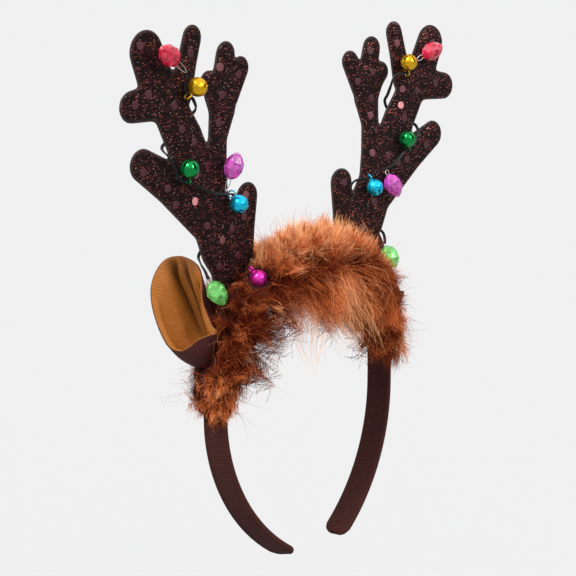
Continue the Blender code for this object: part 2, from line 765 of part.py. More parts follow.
def cup_shell(rings, normals, outer, inner, cut):
    """A cup's wall between two offsets inwards from the surface, its rim cut back."""
    if cut:
        steps = rings[-1] - rings[-2]
        steps /= np.linalg.norm(steps, axis=1, keepdims=True)
        rings = rings.copy()
        rings[-1] -= steps * cut
    points = []
    faces = []
    count = rings.shape[1]
    levels = rings.shape[0]
    for offset in (outer, inner):
        skin = rings - normals * offset
        skin[0, :, 0] += offset
        start = len(points)
        points += [tuple(p) for ring in skin for p in ring]
        pole = skin[0].mean(axis=0) - (EAR_FOOT_DEPTH, 0.0, 0.0)
        points.append(tuple(pole))
        for level in range(levels - 1):
            for k in range(count):
                beside = (k + 1) % count
                low = start + level * count
                faces.append((low + k, low + beside, low + count + beside, low + count + k))
        for k in range(count):
            faces.append((start + levels * count, start + (k + 1) % count, start + k))
    shift = levels * count + 1
    top = (levels - 1) * count
    for k in range(count):
        beside = (k + 1) % count
        faces.append((top + k, top + beside, shift + top + beside, shift + top + k))
    return points, faces


def make_ears():
    rings = ear_surface()
    normals = ring_normals(rings)
    ears = []
    for side in SIDES:
        root, along, across, toward = ear_frame(side)
        turn = Matrix((along, across, toward)).transposed().to_4x4()
        spot = Matrix.Translation(root * MM) @ turn
        start = EAR_WALL + EAR_GAP
        layers = {
            f"ear_outer_{side}": ("satin", 0.0, EAR_WALL, 0.0),
            f"ear_lining_{side}": ("lining", start, start + EAR_LINING, LINING_INSET),
        }
        for name, (colour, outer, inner, cut) in layers.items():
            points, faces = cup_shell(rings, normals, outer, inner, cut)
            placed = [tuple(spot.to_3x3() @ Vector(p) + root) for p in points]
            mesh = mesh_from(name, placed, faces, colour, sharp=60.0)
            ears.append(place(name, mesh))
    return ears


# Fur


def fur_line():
    line = band_line(601)
    first, last = int(FUR_FROM * 600), int(FUR_TO * 600)
    picked = np.linspace(first, last, FUR_STATIONS).round().astype(int)
    return line[picked], [band_frame(line, i) for i in picked]


def grown_hull(name, objects, keep, grow):
    """A convex helper round some objects' points, grown by a clearance."""
    bpy.context.view_layer.update()
    shaped = bmesh.new()
    for obj in objects:
        for vertex in obj.data.vertices:
            spot = obj.matrix_world @ vertex.co / MM
            if keep(spot):
                shaped.verts.new(spot)
    bmesh.ops.convex_hull(shaped, input=shaped.verts, use_existing_faces=False)
    loose = [v for v in shaped.verts if not v.link_faces]
    bmesh.ops.delete(shaped, geom=loose, context="VERTS")
    bmesh.ops.recalc_face_normals(shaped, faces=shaped.faces)
    shaped.normal_update()
    for vertex in shaped.verts:
        vertex.co += vertex.normal * grow
    bmesh.ops.scale(shaped, vec=(MM, MM, MM), verts=shaped.verts)
    mesh = bpy.data.meshes.new(name)
    shaped.to_mesh(mesh)
    shaped.free()
    helper = place(name, mesh)
    hide_helper(helper)
    return helper


def obstacle_trees(names):
    graph = bpy.context.evaluated_depsgraph_get()
    trees = []
    for obj in bpy.data.objects:
        if not obj.name.startswith(names):
            continue
        done = obj.evaluated_get(graph)
        mesh = done.to_mesh()
        points = [done.matrix_world @ v.co / MM for v in mesh.vertices]
        trees.append(BVHTree.FromPolygons(points, [tuple(p.vertices) for p in mesh.polygons]))
        done.to_mesh_clear()
    return trees


def tuft_is_free(base, tip, trees):
    """Whether a tuft stays away from the other pieces and from the space for the head."""
    for part in (0.35, 0.6, 0.8, 1.0):
        at = Vector(base + (tip - base) * part)
        need = TUFT_WIDTH * (1 - part) + TUFT_CLEAR
        if any(tree.find_nearest(at, need)[0] is not None for tree in trees):
            return False
        inside = above_band(np.array([at[0], at[2]])) < BAND_THICKNESS / 2
        if inside and abs(at[1]) < HEAD_HALF_DEPTH + need / 2:
            return False
    return True


def tuft_tip(base, way, reach, droop, trees):
    """The tip of a tuft, drawn back until it's free of its neighbours."""
    fall = np.array([0.0, 0.0, -1.0])
    for size in (1.0, 0.8, 0.6, 0.4, 0.25):
        tip = base + way * reach * size + fall * droop * size**2
        if tuft_is_free(base, tip, trees):
            return tip
    return base


def fur_points(line, frames):
    """The fur's points: for each station, the outer skin's rows and then the inside's."""
    trees = obstacle_trees(("antler", "ear", "bell", "bead", "cord"))
    rng = random.Random(11)
    turns = np.linspace(FUR_TURN, -FUR_TURN, FUR_ROWS)
    spots = [row[0] for row in TUFT_REACH]
    columns = [[row[column] for row in TUFT_REACH] for column in range(1, 6)]
    points = []
    last = len(line) - 1
    for i, (at, (ahead, out, across)) in enumerate(zip(line, frames)):
        to_end = min(i, last - i)
        size = 1.0 - (1.0 - FUR_END_SIZE) * max(0.0, 1 - to_end / FUR_END_RUN) ** 1.5
        reaches = [np.interp(i / last, spots, column) for column in columns]
        for j, turn in enumerate(turns):
            angle = math.radians(turn)
            away = FUR_CORE["away"] + FUR_CORE["rise"] * math.cos(angle)
            over = FUR_CORE["half_width"] * math.sin(angle)
            away = away * size if away > 0 else away
            over = math.copysign(8.6 + (abs(over) - 8.6) * size, over) if abs(over) > 8.6 else over
            base = at + out * away - across * over
            if (i + j) % 2 or i in (0, last):
                points.append(base)
                continue
            inward = math.copysign(TUFT_INWARD * (turn / FUR_TURN) ** 4, turn)
            angle += math.radians(inward + rng.uniform(-11, 11))
            reach = np.interp(turn, TUFT_TURNS, reaches) * rng.uniform(0.62, 1.25)
            droop = reach * TUFT_DROOP * (turn / FUR_TURN) ** 2
            way = out * math.cos(angle) - across * math.sin(angle)
            way = way + ahead * rng.uniform(-TUFT_SPREAD, TUFT_SPREAD)
            way = way / np.linalg.norm(way)
            points.append(tuft_tip(base, way, reach, droop, trees))
        points += [at + out * away + across * over for away, over in FUR_INSIDE]
    return points


def band_room(line, frames):
    """The band's own room and some of the head's, to be kept free of fur."""
    half = BAND_THICKNESS / 2 + GAP
    wide = BAND_WIDTH / 2 + GAP
    inner = -HEAD_ROOM_DEPTH
    section = ((half, -wide), (half, wide), (inner, wide), (inner, -wide))
    skin = swept(line, frames, [section] * len(line))
    room = place("band_room", mesh_from("band_room", *skin, "fur"))
    hide_helper(room)
    return room


def make_fur(antlers, ears):
    line, frames = fur_line()
    faces = tube_faces(FUR_STATIONS, FUR_ROWS + len(FUR_INSIDE))
    fur = place("fur_trim", mesh_from("fur_trim", fur_points(line, frames), faces, "fur"))
    antler_level = WIDEST_LEVEL + BAND_RISE + 26.0
    for side, antler in antlers.items():
        slot = grown_hull(f"slot_antler_{side}", [antler], lambda p: p.z < antler_level, 0.5)
        boolean(fur, slot, "DIFFERENCE")
    ear_edge = EAR_ROOT[0] + 17.0
    for ear in ears:
        if ear.name.startswith("ear_outer"):
            slot = grown_hull(f"slot_{ear.name}", [ear], lambda p: abs(p.x) < ear_edge, 0.5)
            boolean(fur, slot, "DIFFERENCE")
    bell = bpy.data.objects["bell_magenta_left"]
    boolean(fur, grown_hull("slot_bell", [bell], lambda p: True, 0.5), "DIFFERENCE")
    full = band_line(601)
    whole = np.linspace(60, 540, 49).round().astype(int)
    room = band_room(full[whole], [band_frame(full, i) for i in whole])
    boolean(fur, room, "DIFFERENCE")
    return fur


def main():
    clear_scene()
    make_band()
    antlers = {side: make_antler(side) for side in SIDES}
    routes = {side: make_cord(side, antlers[side]) for side in SIDES}
    make_trims(antlers, routes)
    ears = make_ears()
    make_fur(antlers, ears)


main()
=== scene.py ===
import math
import random

import bmesh
import bpy
import numpy as np
from bpy.props import FloatProperty, FloatVectorProperty, IntProperty, PointerProperty
from mathutils import Matrix, Vector
from mathutils.bvhtree import BVHTree
from mathutils.geometry import delaunay_2d_cdt


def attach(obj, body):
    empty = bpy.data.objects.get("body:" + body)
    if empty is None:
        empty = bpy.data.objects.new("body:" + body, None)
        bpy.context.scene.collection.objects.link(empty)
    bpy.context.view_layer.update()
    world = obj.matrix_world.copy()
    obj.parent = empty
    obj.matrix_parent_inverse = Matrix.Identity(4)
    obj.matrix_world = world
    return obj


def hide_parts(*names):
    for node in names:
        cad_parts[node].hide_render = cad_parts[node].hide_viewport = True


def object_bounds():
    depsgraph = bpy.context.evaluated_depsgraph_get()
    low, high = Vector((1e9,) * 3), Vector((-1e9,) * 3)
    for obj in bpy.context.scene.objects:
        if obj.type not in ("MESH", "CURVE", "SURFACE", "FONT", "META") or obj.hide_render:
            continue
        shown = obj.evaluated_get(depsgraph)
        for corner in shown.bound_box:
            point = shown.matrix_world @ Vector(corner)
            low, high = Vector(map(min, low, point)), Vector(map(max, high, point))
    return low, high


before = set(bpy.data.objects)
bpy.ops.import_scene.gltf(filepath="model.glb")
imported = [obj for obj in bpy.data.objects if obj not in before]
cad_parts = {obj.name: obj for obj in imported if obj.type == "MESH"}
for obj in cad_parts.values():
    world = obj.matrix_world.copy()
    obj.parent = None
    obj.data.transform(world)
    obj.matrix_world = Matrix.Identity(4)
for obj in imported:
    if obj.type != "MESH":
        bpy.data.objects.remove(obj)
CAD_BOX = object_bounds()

bl_info = {
    "name": "Reindeer antler headband",
    "version": (1, 0, 0),
    "blender": (4, 5, 0),
    "location": "3D View > Sidebar > Headband",
    "description": "Dresses the headband's solids in ribbon, glitter cloth, satin, fur, bells and beads",
    "category": "Object",
}

MM = 0.001
# What a millimetre measures on a cloth's own map
MAP_STEP = 0.01
SIDES = {"left": -1, "right": 1}

# Band, in millimetres
BAND_WIDTH = 16.3
BAND_THICKNESS = 3.0
BAND_SPAN = 122.0
BAND_RISE = 72.0
BAND_SHOULDER = 2.4
ARM_DROP = 77.8
END_GAP = 41.0
END_SWEEP = 6.4
ARM_TWIST = {"left": 17.0, "right": 3.0}
WIDEST_LEVEL = BAND_THICKNESS / 2 - BAND_RISE
RIBBON_EDGE = 1.15
SEAM_LAP = 0.22
# Rounded ends of the band: place along it, cut from the half width, share of the thickness
BAND_TIPS = (
    (-3.0, 5.2, 0.50), (-2.85, 4.3, 0.78), (-2.5, 3.3, 0.93), (-1.5, 1.8, 1.0), (0.0, 0.8, 1.0),
    (2.0, 0.0, 1.0),
)

# Antlers: place, yaw, pitch and lean, then each branch as sections of across, up and half width
RIM_HALF = 0.5
RIM_FOLD = 0.42
RIM_WIDTH = 1.8
PAD_HALF = 2.6
PAD_ROUNDING = 3.2
PAD_SLACK = 0.5
ANTLER_SPAN = ((-24.0, 84.0), (-28.0, 126.0))
ANTLER_PLACES = {
    "left": ((-46.1, 3.0, 4.7), 3.6, -2.7, 0.8),
    "right": ((42.2, 3.0, 4.7), -4.4, 2.4, 0.0),
}
BRANCHES = {
    "trunk": (
        (1.0, -14.0, 9.2), (0.6, -4.0, 12.8), (1.5, 7.0, 15.0), (8.0, 15.0, 15.0), (17.5, 33.0, 13.5),
        (27.0, 46.0, 14.5), (35.0, 66.0, 11.6), (44.0, 80.0, 10.4), (45.5, 88.0, 11.0),
    ),
    "low inner tine": ((-4.0, 4.0, 10.8), (-7.3, 22.0, 7.6), (-8.3, 35.8, 7.6)),
    "low outer tine": ((20.0, 30.0, 12.5), (44.0, 47.0, 9.8), (61.0, 56.8, 7.7)),
    "inner beam": (
        (12.5, 33.0, 8.0), (14.5, 50.0, 8.0), (13.5, 66.0, 6.4), (11.0, 80.0, 9.0), (12.5, 88.0, 11.0),
    ),
    "small finger": ((7.5, 86.0, 7.5), (-0.3, 98.8, 5.9)),
    "middle finger": ((12.0, 91.0, 7.0), (12.4, 105.4, 6.4)),
    "stub": ((15.0, 88.0, 8.5), (21.3, 92.8, 5.6)),
    "top inner finger": ((38.5, 88.0, 7.5), (34.8, 103.0, 6.2), (32.2, 113.4, 6.0)),
    "top outer finger": ((50.0, 86.0, 11.0), (60.0, 107.2, 9.9)),
    "knob": ((54.0, 85.0, 8.8), (69.0, 83.3, 7.4)),
}
TIP_LEAN = {
    "left": {"middle finger": -2.4, "knob": -1.0, "stub": -0.6},
    "right": {"middle finger": 3.0, "knob": 1.8, "stub": 0.8},
}
# Sequins on the front of each antler: across, up, tone from dull plum 0 to bright pink 2, which is painted
# light: the rose and pink ones are lit copies of the plum sequin
SEQUINS = {
    "left": (
        (64.2, 110.0, 0), (45.8, 97.0, 0), (58.8, 88.5, 0), (66.8, 84.2, 0), (43.0, 82.9, 0),
        (23.5, 94.6, 0), (14.4, 99.6, 1), (1.6, 96.0, 0), (12.6, 86.7, 0), (33.6, 106.5, 0),
        (50.0, 73.0, 0), (29.8, 65.5, 0), (14.0, 73.5, 0), (61.0, 53.6, 0), (45.9, 45.0, 0),
        (20.1, 53.4, 0), (28.3, 37.3, 2), (40.3, 36.7, 0), (28.2, 50.0, 1), (-6.0, 26.3, 0),
        (2.3, 21.1, 0), (9.1, 16.3, 1), (-2.4, 7.2, 0), (10.2, 3.2, 0), (-6.6, 37.0, 1), (38.0, 72.0, 0),
        (32.0, 27.0, 0), (19.5, 24.5, 0),
    ),
    "right": (
        (33.0, 107.6, 1), (14.4, 92.9, 0), (6.0, 95.4, 1), (3.6, 88.1, 0), (37.1, 82.7, 1),
        (35.0, 74.2, 2), (47.6, 81.5, 0), (62.4, 84.8, 0), (13.1, 104.0, 0), (13.1, 79.0, 0),
        (37.4, 66.9, 0), (16.7, 61.6, 0), (12.4, 70.0, 1), (54.5, 51.4, 0), (13.2, 49.8, 1),
        (24.3, 47.9, 0), (31.7, 43.2, 0), (39.0, 44.5, 0), (-7.4, 35.5, 0), (-2.5, 22.8, 0),
        (13.5, 23.3, 0), (3.0, 10.0, 0), (60.0, 107.0, 0),
    ),
}
# A sequin's section from its middle out and down: share of the radius and lift
SEQUIN_DOME = 0.17
SEQUIN_RINGS = ((0.35, 0.16), (0.8, 0.22), (1.0, 0.20), (1.0, 0.08))

# Trims, in the antlers' own frames: across, depth, up
BELL_RADIUS = 4.5
BELL_WALL = 0.4
LOOP_RADIUS = 1.8
LOOP_WIRE = 0.38
LOOP_REACH = BELL_RADIUS + 1.45
PELLET_RADIUS = 1.35
HOOK = -4.9
FACE = PAD_HALF + 0.3 + 0.75 + 0.15
BALL_DEPTH = -(PAD_HALF + BELL_RADIUS + 0.4)
# Each bell's middle and the spot on the cord that its loop points to
BELLS = {
    "bell_gold_left": ((34.8, BALL_DEPTH, 91.7), (38.6, HOOK, 87.4)),
    "bell_green_left": ((38.5, BALL_DEPTH, 54.4), (37.4, HOOK, 47.2)),
    "bell_blue_left": ((4.8, BALL_DEPTH, 34.6), (7.2, HOOK, 39.2)),
    "bell_magenta_left": ((-6.2, -12.0, -3.0), (-3.4, -9.0, 2.0)),
    "bell_gold_right": ((36.0, BALL_DEPTH, 97.1), (36.8, HOOK, 90.9)),
    "bell_green_right": ((34.2, BALL_DEPTH, 56.1), (36.6, HOOK, 49.7)),
    "bell_blue_right": ((9.3, BALL_DEPTH, 31.9), (7.4, HOOK, 38.2)),
}
BEAD_SIDES = 8
BEAD_PROFILE = ((0.0, 1.2), (1.6, 3.3), (4.9, 4.75), (8.6, 4.3), (11.3, 2.6), (12.8, 1.1))
BEAD_HALF = BEAD_PROFILE[-1][0] / 2
BEAD_WIRE = 0.2
# Each bead's middle, the spot that its wire points to and the length of its stem
BEADS = {
    "bead_red_left": ((53.6, -8.0, 106.3), (39.3, -5.3, 97.8), 9.6),
    "bead_purple_left": ((9.3, -7.4, 53.4), (12.0, -5.0, 41.1), 6.7),
    "bead_lime_left": ((19.0, -8.6, -7.3), (22.3, -5.8, -0.6), 1.2),
    "bead_red_right": ((53.7, -7.9, 102.8), (43.2, -5.0, 97.8), 4.6),
    "bead_purple_right": ((22.8, -7.8, 31.8), (19.0, -5.3, 41.6), 2.9),
    "bead_lime_right": ((18.0, -9.6, -6.7), (18.2, -5.2, 0.0), 1.2),
}
CORD_TWIST = 46.0
# A name stands for the middle of that bell's loop
CORD_ROUTES = {
    "left": (
        (39.8, -5.25, 97.2), (40.3, -4.4, 92.0), "bell_gold_left", (34.5, -FACE, 86.2),
        (31.2, -2.7, 82.6), (29.1, -0.4, 80.3), (29.2, 2.2, 77.6), (33.0, FACE, 72.6),
        (42.0, FACE + 0.1, 66.6), (46.6, 2.6, 64.0), (48.4, 0.2, 62.5), (47.4, -2.9, 59.8),
        (45.0, -4.3, 54.6), (41.6, -4.7, 49.2), "bell_green_left", (31.0, -4.4, 45.4),
        (20.0, -4.0, 41.2), (13.0, -4.3, 39.8), "bell_blue_left", (1.4, 0.2, 36.4), (2.2, FACE, 29.0),
        (9.5, FACE, 18.0), (19.2, 4.1, 10.0), (22.0, 0.4, 6.4), (22.4, -3.2, 3.2), (22.35, -5.75, -0.45),
    ),
    "right": (
        (43.5, -5.05, 97.6), (41.2, -4.5, 93.8), "bell_gold_right", (31.5, -4.3, 91.4),
        (28.2, -3.6, 89.4), (26.7, -2.8, 85.0), (26.2, -0.8, 80.4), (26.6, 1.9, 76.8),
        (31.5, FACE, 71.5), (42.0, FACE + 0.1, 66.6), (46.6, 2.6, 64.0), (48.4, 0.2, 62.5),
        (46.9, -3.2, 58.6), (42.4, -4.6, 52.8), "bell_green_right", (27.5, -4.1, 43.3),
        (20.0, -4.0, 41.0), (12.6, -4.2, 40.2), "bell_blue_right", (1.4, 0.2, 35.4), (2.2, FACE, 28.4),
        (9.5, FACE, 17.6), (19.5, 4.1, 9.4), (21.6, -0.2, 5.6), (20.0, -3.4, 2.4), (18.3, -5.0, 0.3),
    ),
}

# Ears: along, across and towards the front, round the rim from the front fold by the back
EAR_WALL = 1.2
EAR_LINING = 1.1
EAR_GAP = 0.45
EAR_ROOT = (60.9, 1.4, WIDEST_LEVEL + 32.0)
EAR_ALONG = (0.27, 0.33, 0.905)
EAR_TOWARD = (0.69, -0.70, 0.05)
EAR_FOOT_MIDDLE = (-2.4, 2.4)
EAR_FOOT_HALF = (5.0, 4.0)
EAR_FOOT_DEPTH = 1.5
EAR_BULGE = 0.10
EAR_RIM = (
    (13.3, 10.3, 12.5), (17.2, 9.2, 11.0), (24.9, 9.2, 9.0), (31.8, 10.2, 7.5), (37.3, 12.6, 5.8),
    (42.4, 14.4, 4.0), (46.6, 14.0, 2.0), (50.6, 11.4, 0.0), (54.0, 6.6, -1.5), (54.9, 0.0, -1.5),
    (51.9, -6.2, -0.5), (46.6, -11.2, 1.5), (39.9, -14.2, 3.5), (31.8, -15.8, 5.5), (23.4, -16.2, 8.0),
    (16.5, -15.0, 10.5), (12.9, -10.6, 13.0), (13.2, -5.2, 14.8), (14.6, 0.2, 15.4), (14.4, 4.6, 14.6),
)
# Pleats that run up the ear: place round the rim, half width, depth of both layers, lift of the lining
EAR_PLEATS = (
    (0.240, 0.030, 0.2, 1.2), (0.316, 0.016, 0.9, 1.4), (0.344, 0.013, -1.6, 0.0),
    (0.367, 0.012, 0.5, 1.0), (0.396, 0.021, -3.0, 0.0), (0.462, 0.040, 0.6, 2.0),
)
# Each layer's two skins under the ear's surface, the same two at the rim, and its slot
EAR_LAYERS = {
    "outer": ((0.0, EAR_WALL), (0.0, 0.38), "brown_satin"),
    "lining": ((EAR_WALL + EAR_GAP, EAR_WALL + EAR_GAP + EAR_LINING), (0.42, 0.95), "tan_satin"),
}

# Fur: how light it is at places along the band, and what its map's level stands for
TONE_PLACES = (0.23, 0.275, 0.30, 0.36, 0.42, 0.50, 0.60, 0.66, 0.72)
TONES = (0.32, 0.28, 0.00, -0.14, 0.18, 0.26, 0.24, 0.26, 0.38)
TONE_LOW, TONE_SPAN = -0.25, 1.35
TONE_HALF = 0.012
TUFT_RISE = 1.6
END_LOW, END_HIGH, END_RUN = 0.315, 0.67, 0.05
DOWN_REACH = (-45.8, 36.6)
STRAY_REACH = (-43.5, 34.5)
DOWN_TAPER = (1.0, 1.0, 0.85, 0.6, 0.0)
STRAY_TAPER = (1.0, 0.95, 0.85, 0.7, 0.5, 0.0)
UPWARD = np.array((0.0, 0.0, 0.6))
# Toward the viewer of the magenta bell and the lime bead, which stay in view: place, room, reach
OPEN_WAY = (-0.64, -0.70, 0.30)
OPEN_ROOMS = ((BELLS["bell_magenta_left"][0], 5.1, 26.0), (BEADS["bead_lime_left"][0], 4.9, 12.0))


# Settings


def colour_setting(name, words, value):
    return FloatVectorProperty(
        name=name, description=words, default=value, size=3, min=0.0, max=1.0, subtype="COLOR"
    )


def length_setting(name, words, value):
    return FloatProperty(name=name, description=words, default=value * MM, min=0.0, unit="LENGTH")


def angle_setting(name, words, value):
    return FloatProperty(name=name, description=words, default=value, subtype="ANGLE")


def number_setting(name, words, value):
    return FloatProperty(name=name, description=words, default=value)


def count_setting(name, words, value):
    return IntProperty(name=name, description=words, default=value)


class StageSettings(bpy.types.PropertyGroup):
    turn: angle_setting("Turn", "Camera's turn round the headband", math.radians(-44.518))
    rise: angle_setting("Rise", "Camera's height angle", math.radians(12.336))
    distance: length_setting("Distance", "From the camera to the headband", 680.06)
    lens: number_setting("Lens", "Focal length in millimetres", 82.798)
    drop: length_setting("Floor drop", "How far the floor lies under the band's ends", 260.0)
    backdrop: colour_setting("Backdrop", "Colour of the floor", (0.545, 0.545, 0.55))
    room_light: number_setting("Room light", "Strength of the soft surround", 0.92)
    key_light: number_setting("Key light", "Strength of the large soft lamp", 2.3)
    side_light: number_setting("Side light", "Strength of the side lamp", 1.1)


class BandSettings(bpy.types.PropertyGroup):
    width: length_setting("Width", "Width of the covered band", BAND_WIDTH)
    thickness: length_setting("Thickness", "Thickness of the covered band", BAND_THICKNESS)
    rib: length_setting("Rib", "Distance between the ribbon's ribs", 1.25)
    ribbon: colour_setting("Ribbon", "Dark brown of the ribbon", (0.008, 0.0020, 0.0016))
    ribbon_light: colour_setting("Ribbon highlight", "Brown on the ribs' crowns", (0.112, 0.028, 0.022))


class AntlerSettings(bpy.types.PropertyGroup):
    spacing: length_setting("Mesh size", "Mesh size of the pads before they are filled", 1.4)
    swell: length_setting("Swell", "Furthest that the filling may push the cloth out", 0.9)
    pressure: number_setting("Pressure", "Pressure of the filling", 4.0)
    cloth: colour_setting("Cloth", "Near-black brown of the cloth", (0.0150, 0.0066, 0.0074))
    tinsel: colour_setting("Tinsel", "Copper red of the tinsel threads", (0.62, 0.150, 0.130))
    edge: colour_setting("Edge", "Grey brown of the pinched edge", (0.070, 0.052, 0.050))
    sequin: colour_setting("Sequin", "Plum of the dull sequins", (0.078, 0.011, 0.021))
    # Pink painted on the sequins that catch the light, a lit copy of the plum sequin
    sequin_lit: colour_setting("Bright sequin", "Pink of a sequin in the light", (0.88, 0.33, 0.36))
    sequin_size: length_setting("Sequin size", "Diameter of a sequin", 4.0)
    lay: angle_setting("Lay", "Slope of the tinsel threads", -0.10)


class EarSettings(bpy.types.PropertyGroup):
    rib: length_setting("Rib", "Distance between the satin's ribs", 1.15)
    lining: colour_setting("Lining", "Caramel of the lining", (0.47, 0.165, 0.030))
    lining_dark: colour_setting("Lining shade", "Brown between the lining's ribs", (0.27, 0.080, 0.010))
    back: colour_setting("Back", "Aubergine brown of the ear's back", (0.030, 0.0070, 0.0066))
    back_light: colour_setting("Back sheen", "Brown on the back's ribs", (0.105, 0.024, 0.021))


class FurSettings(bpy.types.PropertyGroup):
    locks: count_setting("Wisps", "Wisps of down for each tuft of the solid", 6)
    strands: count_setting("Strands", "Strands in wisps", 72000)
    fuzz: count_setting("Fuzz", "Short single strands between the wisps", 24000)
    strays: count_setting("Strays", "Long single hairs", 1300)
    width: length_setting("Strand width", "Width of a strand at its root", 0.22)
    dark: colour_setting("Dark", "Darkest down", (0.090, 0.0100, 0.0035))
    middle: colour_setting("Middle", "Rust brown of most of the down", (0.62, 0.145, 0.038))
    light: colour_setting("Light", "Lightest down", (1.0, 0.54, 0.26))
    # The dark root is painted shade and the pale tip painted light
    gradient: number_setting("Gradient", "How much paler a strand's tip is", 0.6)
    seed: count_setting("Seed", "Chooses where the strands grow", 7)


class TrimSettings(bpy.types.PropertyGroup):
    cord: colour_setting("Cord", "Black of the cord", (0.004, 0.004, 0.005))
    cord_strand: length_setting("Cord strand", "Diameter of one of the cord's two strands", 0.86)
    gold: colour_setting("Gold", "Gold bells", (0.92, 0.52, 0.015))
    green: colour_setting("Green", "Green bells", (0.008, 0.34, 0.075))
    blue: colour_setting("Blue", "Blue bells", (0.015, 0.66, 0.98))
    magenta: colour_setting("Magenta", "Magenta bell", (1.0, 0.05, 0.56))
    red: colour_setting("Red", "Red beads", (1.0, 0.020, 0.085))
    purple: colour_setting("Purple", "Purple beads", (0.92, 0.125, 0.76))
    lime: colour_setting("Lime", "Lime beads", (0.25, 0.86, 0.20))
    wire: colour_setting("Wire", "Silver wire", (0.72, 0.70, 0.68))


# Mesh helpers


def unit_rows(rows):
    return rows / np.maximum(np.linalg.norm(rows, axis=-1, keepdims=True), 1e-9)


def run_along(points):
    """How far along a row of points each of them lies."""
    return np.concatenate([[0.0], np.cumsum(np.linalg.norm(np.diff(points, axis=0), axis=1))])


def resampled(points, count, closed=False):
    run = run_along(points)
    wanted = np.linspace(0, run[-1], count + 1 if closed else count)
    found = np.stack([np.interp(wanted, run, column) for column in points.T], axis=1)
    return found[:-1] if closed else found


def smooth_route(points, count, closed=False):
    """Evenly spaced points on a smooth curve through the given points."""
    points = [np.array(p, float) for p in points]
    if closed:
        knots = [points[-1], *points, points[0], points[1]]
    else:
        knots = [2 * points[0] - points[1], *points, 2 * points[-1] - points[-2]]
    dense = []
    for before, start, end, after in zip(knots, knots[1:], knots[2:], knots[3:]):
        square = 2 * before - 5 * start + 4 * end - after
        cube = 3 * start - before - 3 * end + after
        for t in np.linspace(0, 1, 24, endpoint=False):
            dense.append(0.5 * (2 * start + (end - before) * t + square * t**2 + cube * t**3))
    dense.append(points[0] if closed else points[-1])
    return resampled(np.array(dense), count, closed)


def circle(count, shift=0.0):
    """Cosine and sine of each of some even turns."""
    turns = [2 * math.pi * (k + shift) / count for k in range(count)]
    return [(math.cos(turn), math.sin(turn)) for turn in turns]


def ring_faces(rows, sides, start=0, closed=False, capped=False):
    """Faces between rings of points, from the number of the first one."""
    faces = []
    for row in range(rows if closed else rows - 1):
        low, high = start + row * sides, start + (row + 1) % rows * sides
        for k in range(sides):
            beside = (k + 1) % sides
            faces.append((low + k, low + beside, high + beside, high + k))
    if capped:
        faces.append(tuple(reversed(range(start, start + sides))))
        faces.append(tuple(range(start + (rows - 1) * sides, start + rows * sides)))
    return faces


def tube(route, radius, sides, closed=False, offsets=None):
    """Points and faces of a round tube along a route, with its frames carried along it."""
    route = np.asarray(route, float)
    ways = np.roll(route, -1, 0) - np.roll(route, 1, 0) if closed else np.gradient(route, axis=0)
    ways = unit_rows(ways)
    up = np.array((0.0, 0.0, 1.0) if abs(ways[0][2]) < 0.9 else (0.0, 1.0, 0.0))
    points = []
    for i, (middle, way) in enumerate(zip(route, ways)):
        up = up - way * (up @ way)
        up /= np.linalg.norm(up)
        side = np.cross(way, up)
        if offsets is not None:
            middle = middle + side * offsets[i][0] + up * offsets[i][1]
        points += [middle + (side * c + up * s) * radius for c, s in circle(sides)]
    return points, ring_faces(len(route), sides, 0, closed, not closed)


def revolved(profile, sides):
    """Points and faces of a turned form, from heights and radii."""
    points = [(radius * c, radius * s, height) for height, radius in profile for c, s in circle(sides)]
    return points, ring_faces(len(profile), sides, capped=True)


def joined(shapes):
    """One list of points and faces from several, each made with faces counted from nought."""
    points, faces = [], []
    for some, cells in shapes:
        shift = len(points)
        points += [tuple(p) for p in some]
        faces += [tuple(i + shift for i in cell) for cell in cells]
    return points, faces


def new_object(name, mesh, finishes, stands_for=()):
    """A mesh as a smooth piece that rides with the headband."""
    mesh.shade_smooth()
    for finish in finishes:
        mesh.materials.append(finish)
    piece = bpy.data.objects.new(name, mesh)
    bpy.context.scene.collection.objects.link(piece)
    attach(piece, "root")
    if stands_for:
        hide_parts(*stands_for)
    return piece


def new_piece(name, points, faces, finishes, slot, stands_for=(), matrix=None):
    """A piece from points in millimetres, which a matrix may put in place."""
    mesh = bpy.data.meshes.new(name)
    mesh.from_pydata([tuple(c * MM for c in p) for p in points], [], faces)
    if matrix is not None:
        mesh.transform(matrix)
    mesh.update()
    return new_object(name, mesh, finishes, stands_for)


def name_layer(mesh, name, spots):
    """A map of two numbers at each corner, from one pair for each point of the mesh."""
    layer = mesh.uv_layers.new(name=name)
    corners = np.zeros(len(mesh.loops), np.int32)
    mesh.loops.foreach_get("vertex_index", corners)
    layer.data.foreach_set("uv", np.asarray(spots, np.float32)[corners].ravel())


def name_values(mesh, name, values):
    mesh.attributes.new(name, "FLOAT", "POINT").data.foreach_set("value", values.astype(np.float32))


def face_outwards(mesh):
    shaper = bmesh.new()
    shaper.from_mesh(mesh)
    bmesh.ops.recalc_face_normals(shaper, faces=shaper.faces)
    shaper.to_mesh(mesh)
    shaper.free()


# Band


def band_line(count):
    """The band's middle line from the left end over the crown to the right end."""
    steps = 400
    turns = np.linspace(0, math.pi / 2, steps)
    power = 2 / BAND_SHOULDER
    arch_x = BAND_SPAN / 2 * np.sin(turns) ** power
    arch_z = WIDEST_LEVEL + BAND_RISE * np.cos(turns) ** power
    inset = (BAND_SPAN - END_GAP) / 2
    radius = (inset**2 + ARM_DROP**2) / (2 * inset)
    bends = np.linspace(0, math.asin(ARM_DROP / radius), steps)[1:]
    xs = np.concatenate([arch_x, BAND_SPAN / 2 - radius * (1 - np.cos(bends))])
    ys = np.concatenate([np.zeros(steps), -END_SWEEP * (bends / bends[-1]) ** 1.4])
    zs = np.concatenate([arch_z, WIDEST_LEVEL - radius * np.sin(bends)])
    right = np.stack([xs, ys, zs], axis=1)
    left = right[::-1] * (-1, 1, 1)
    return resampled(np.concatenate([left[:-1], right]), count)


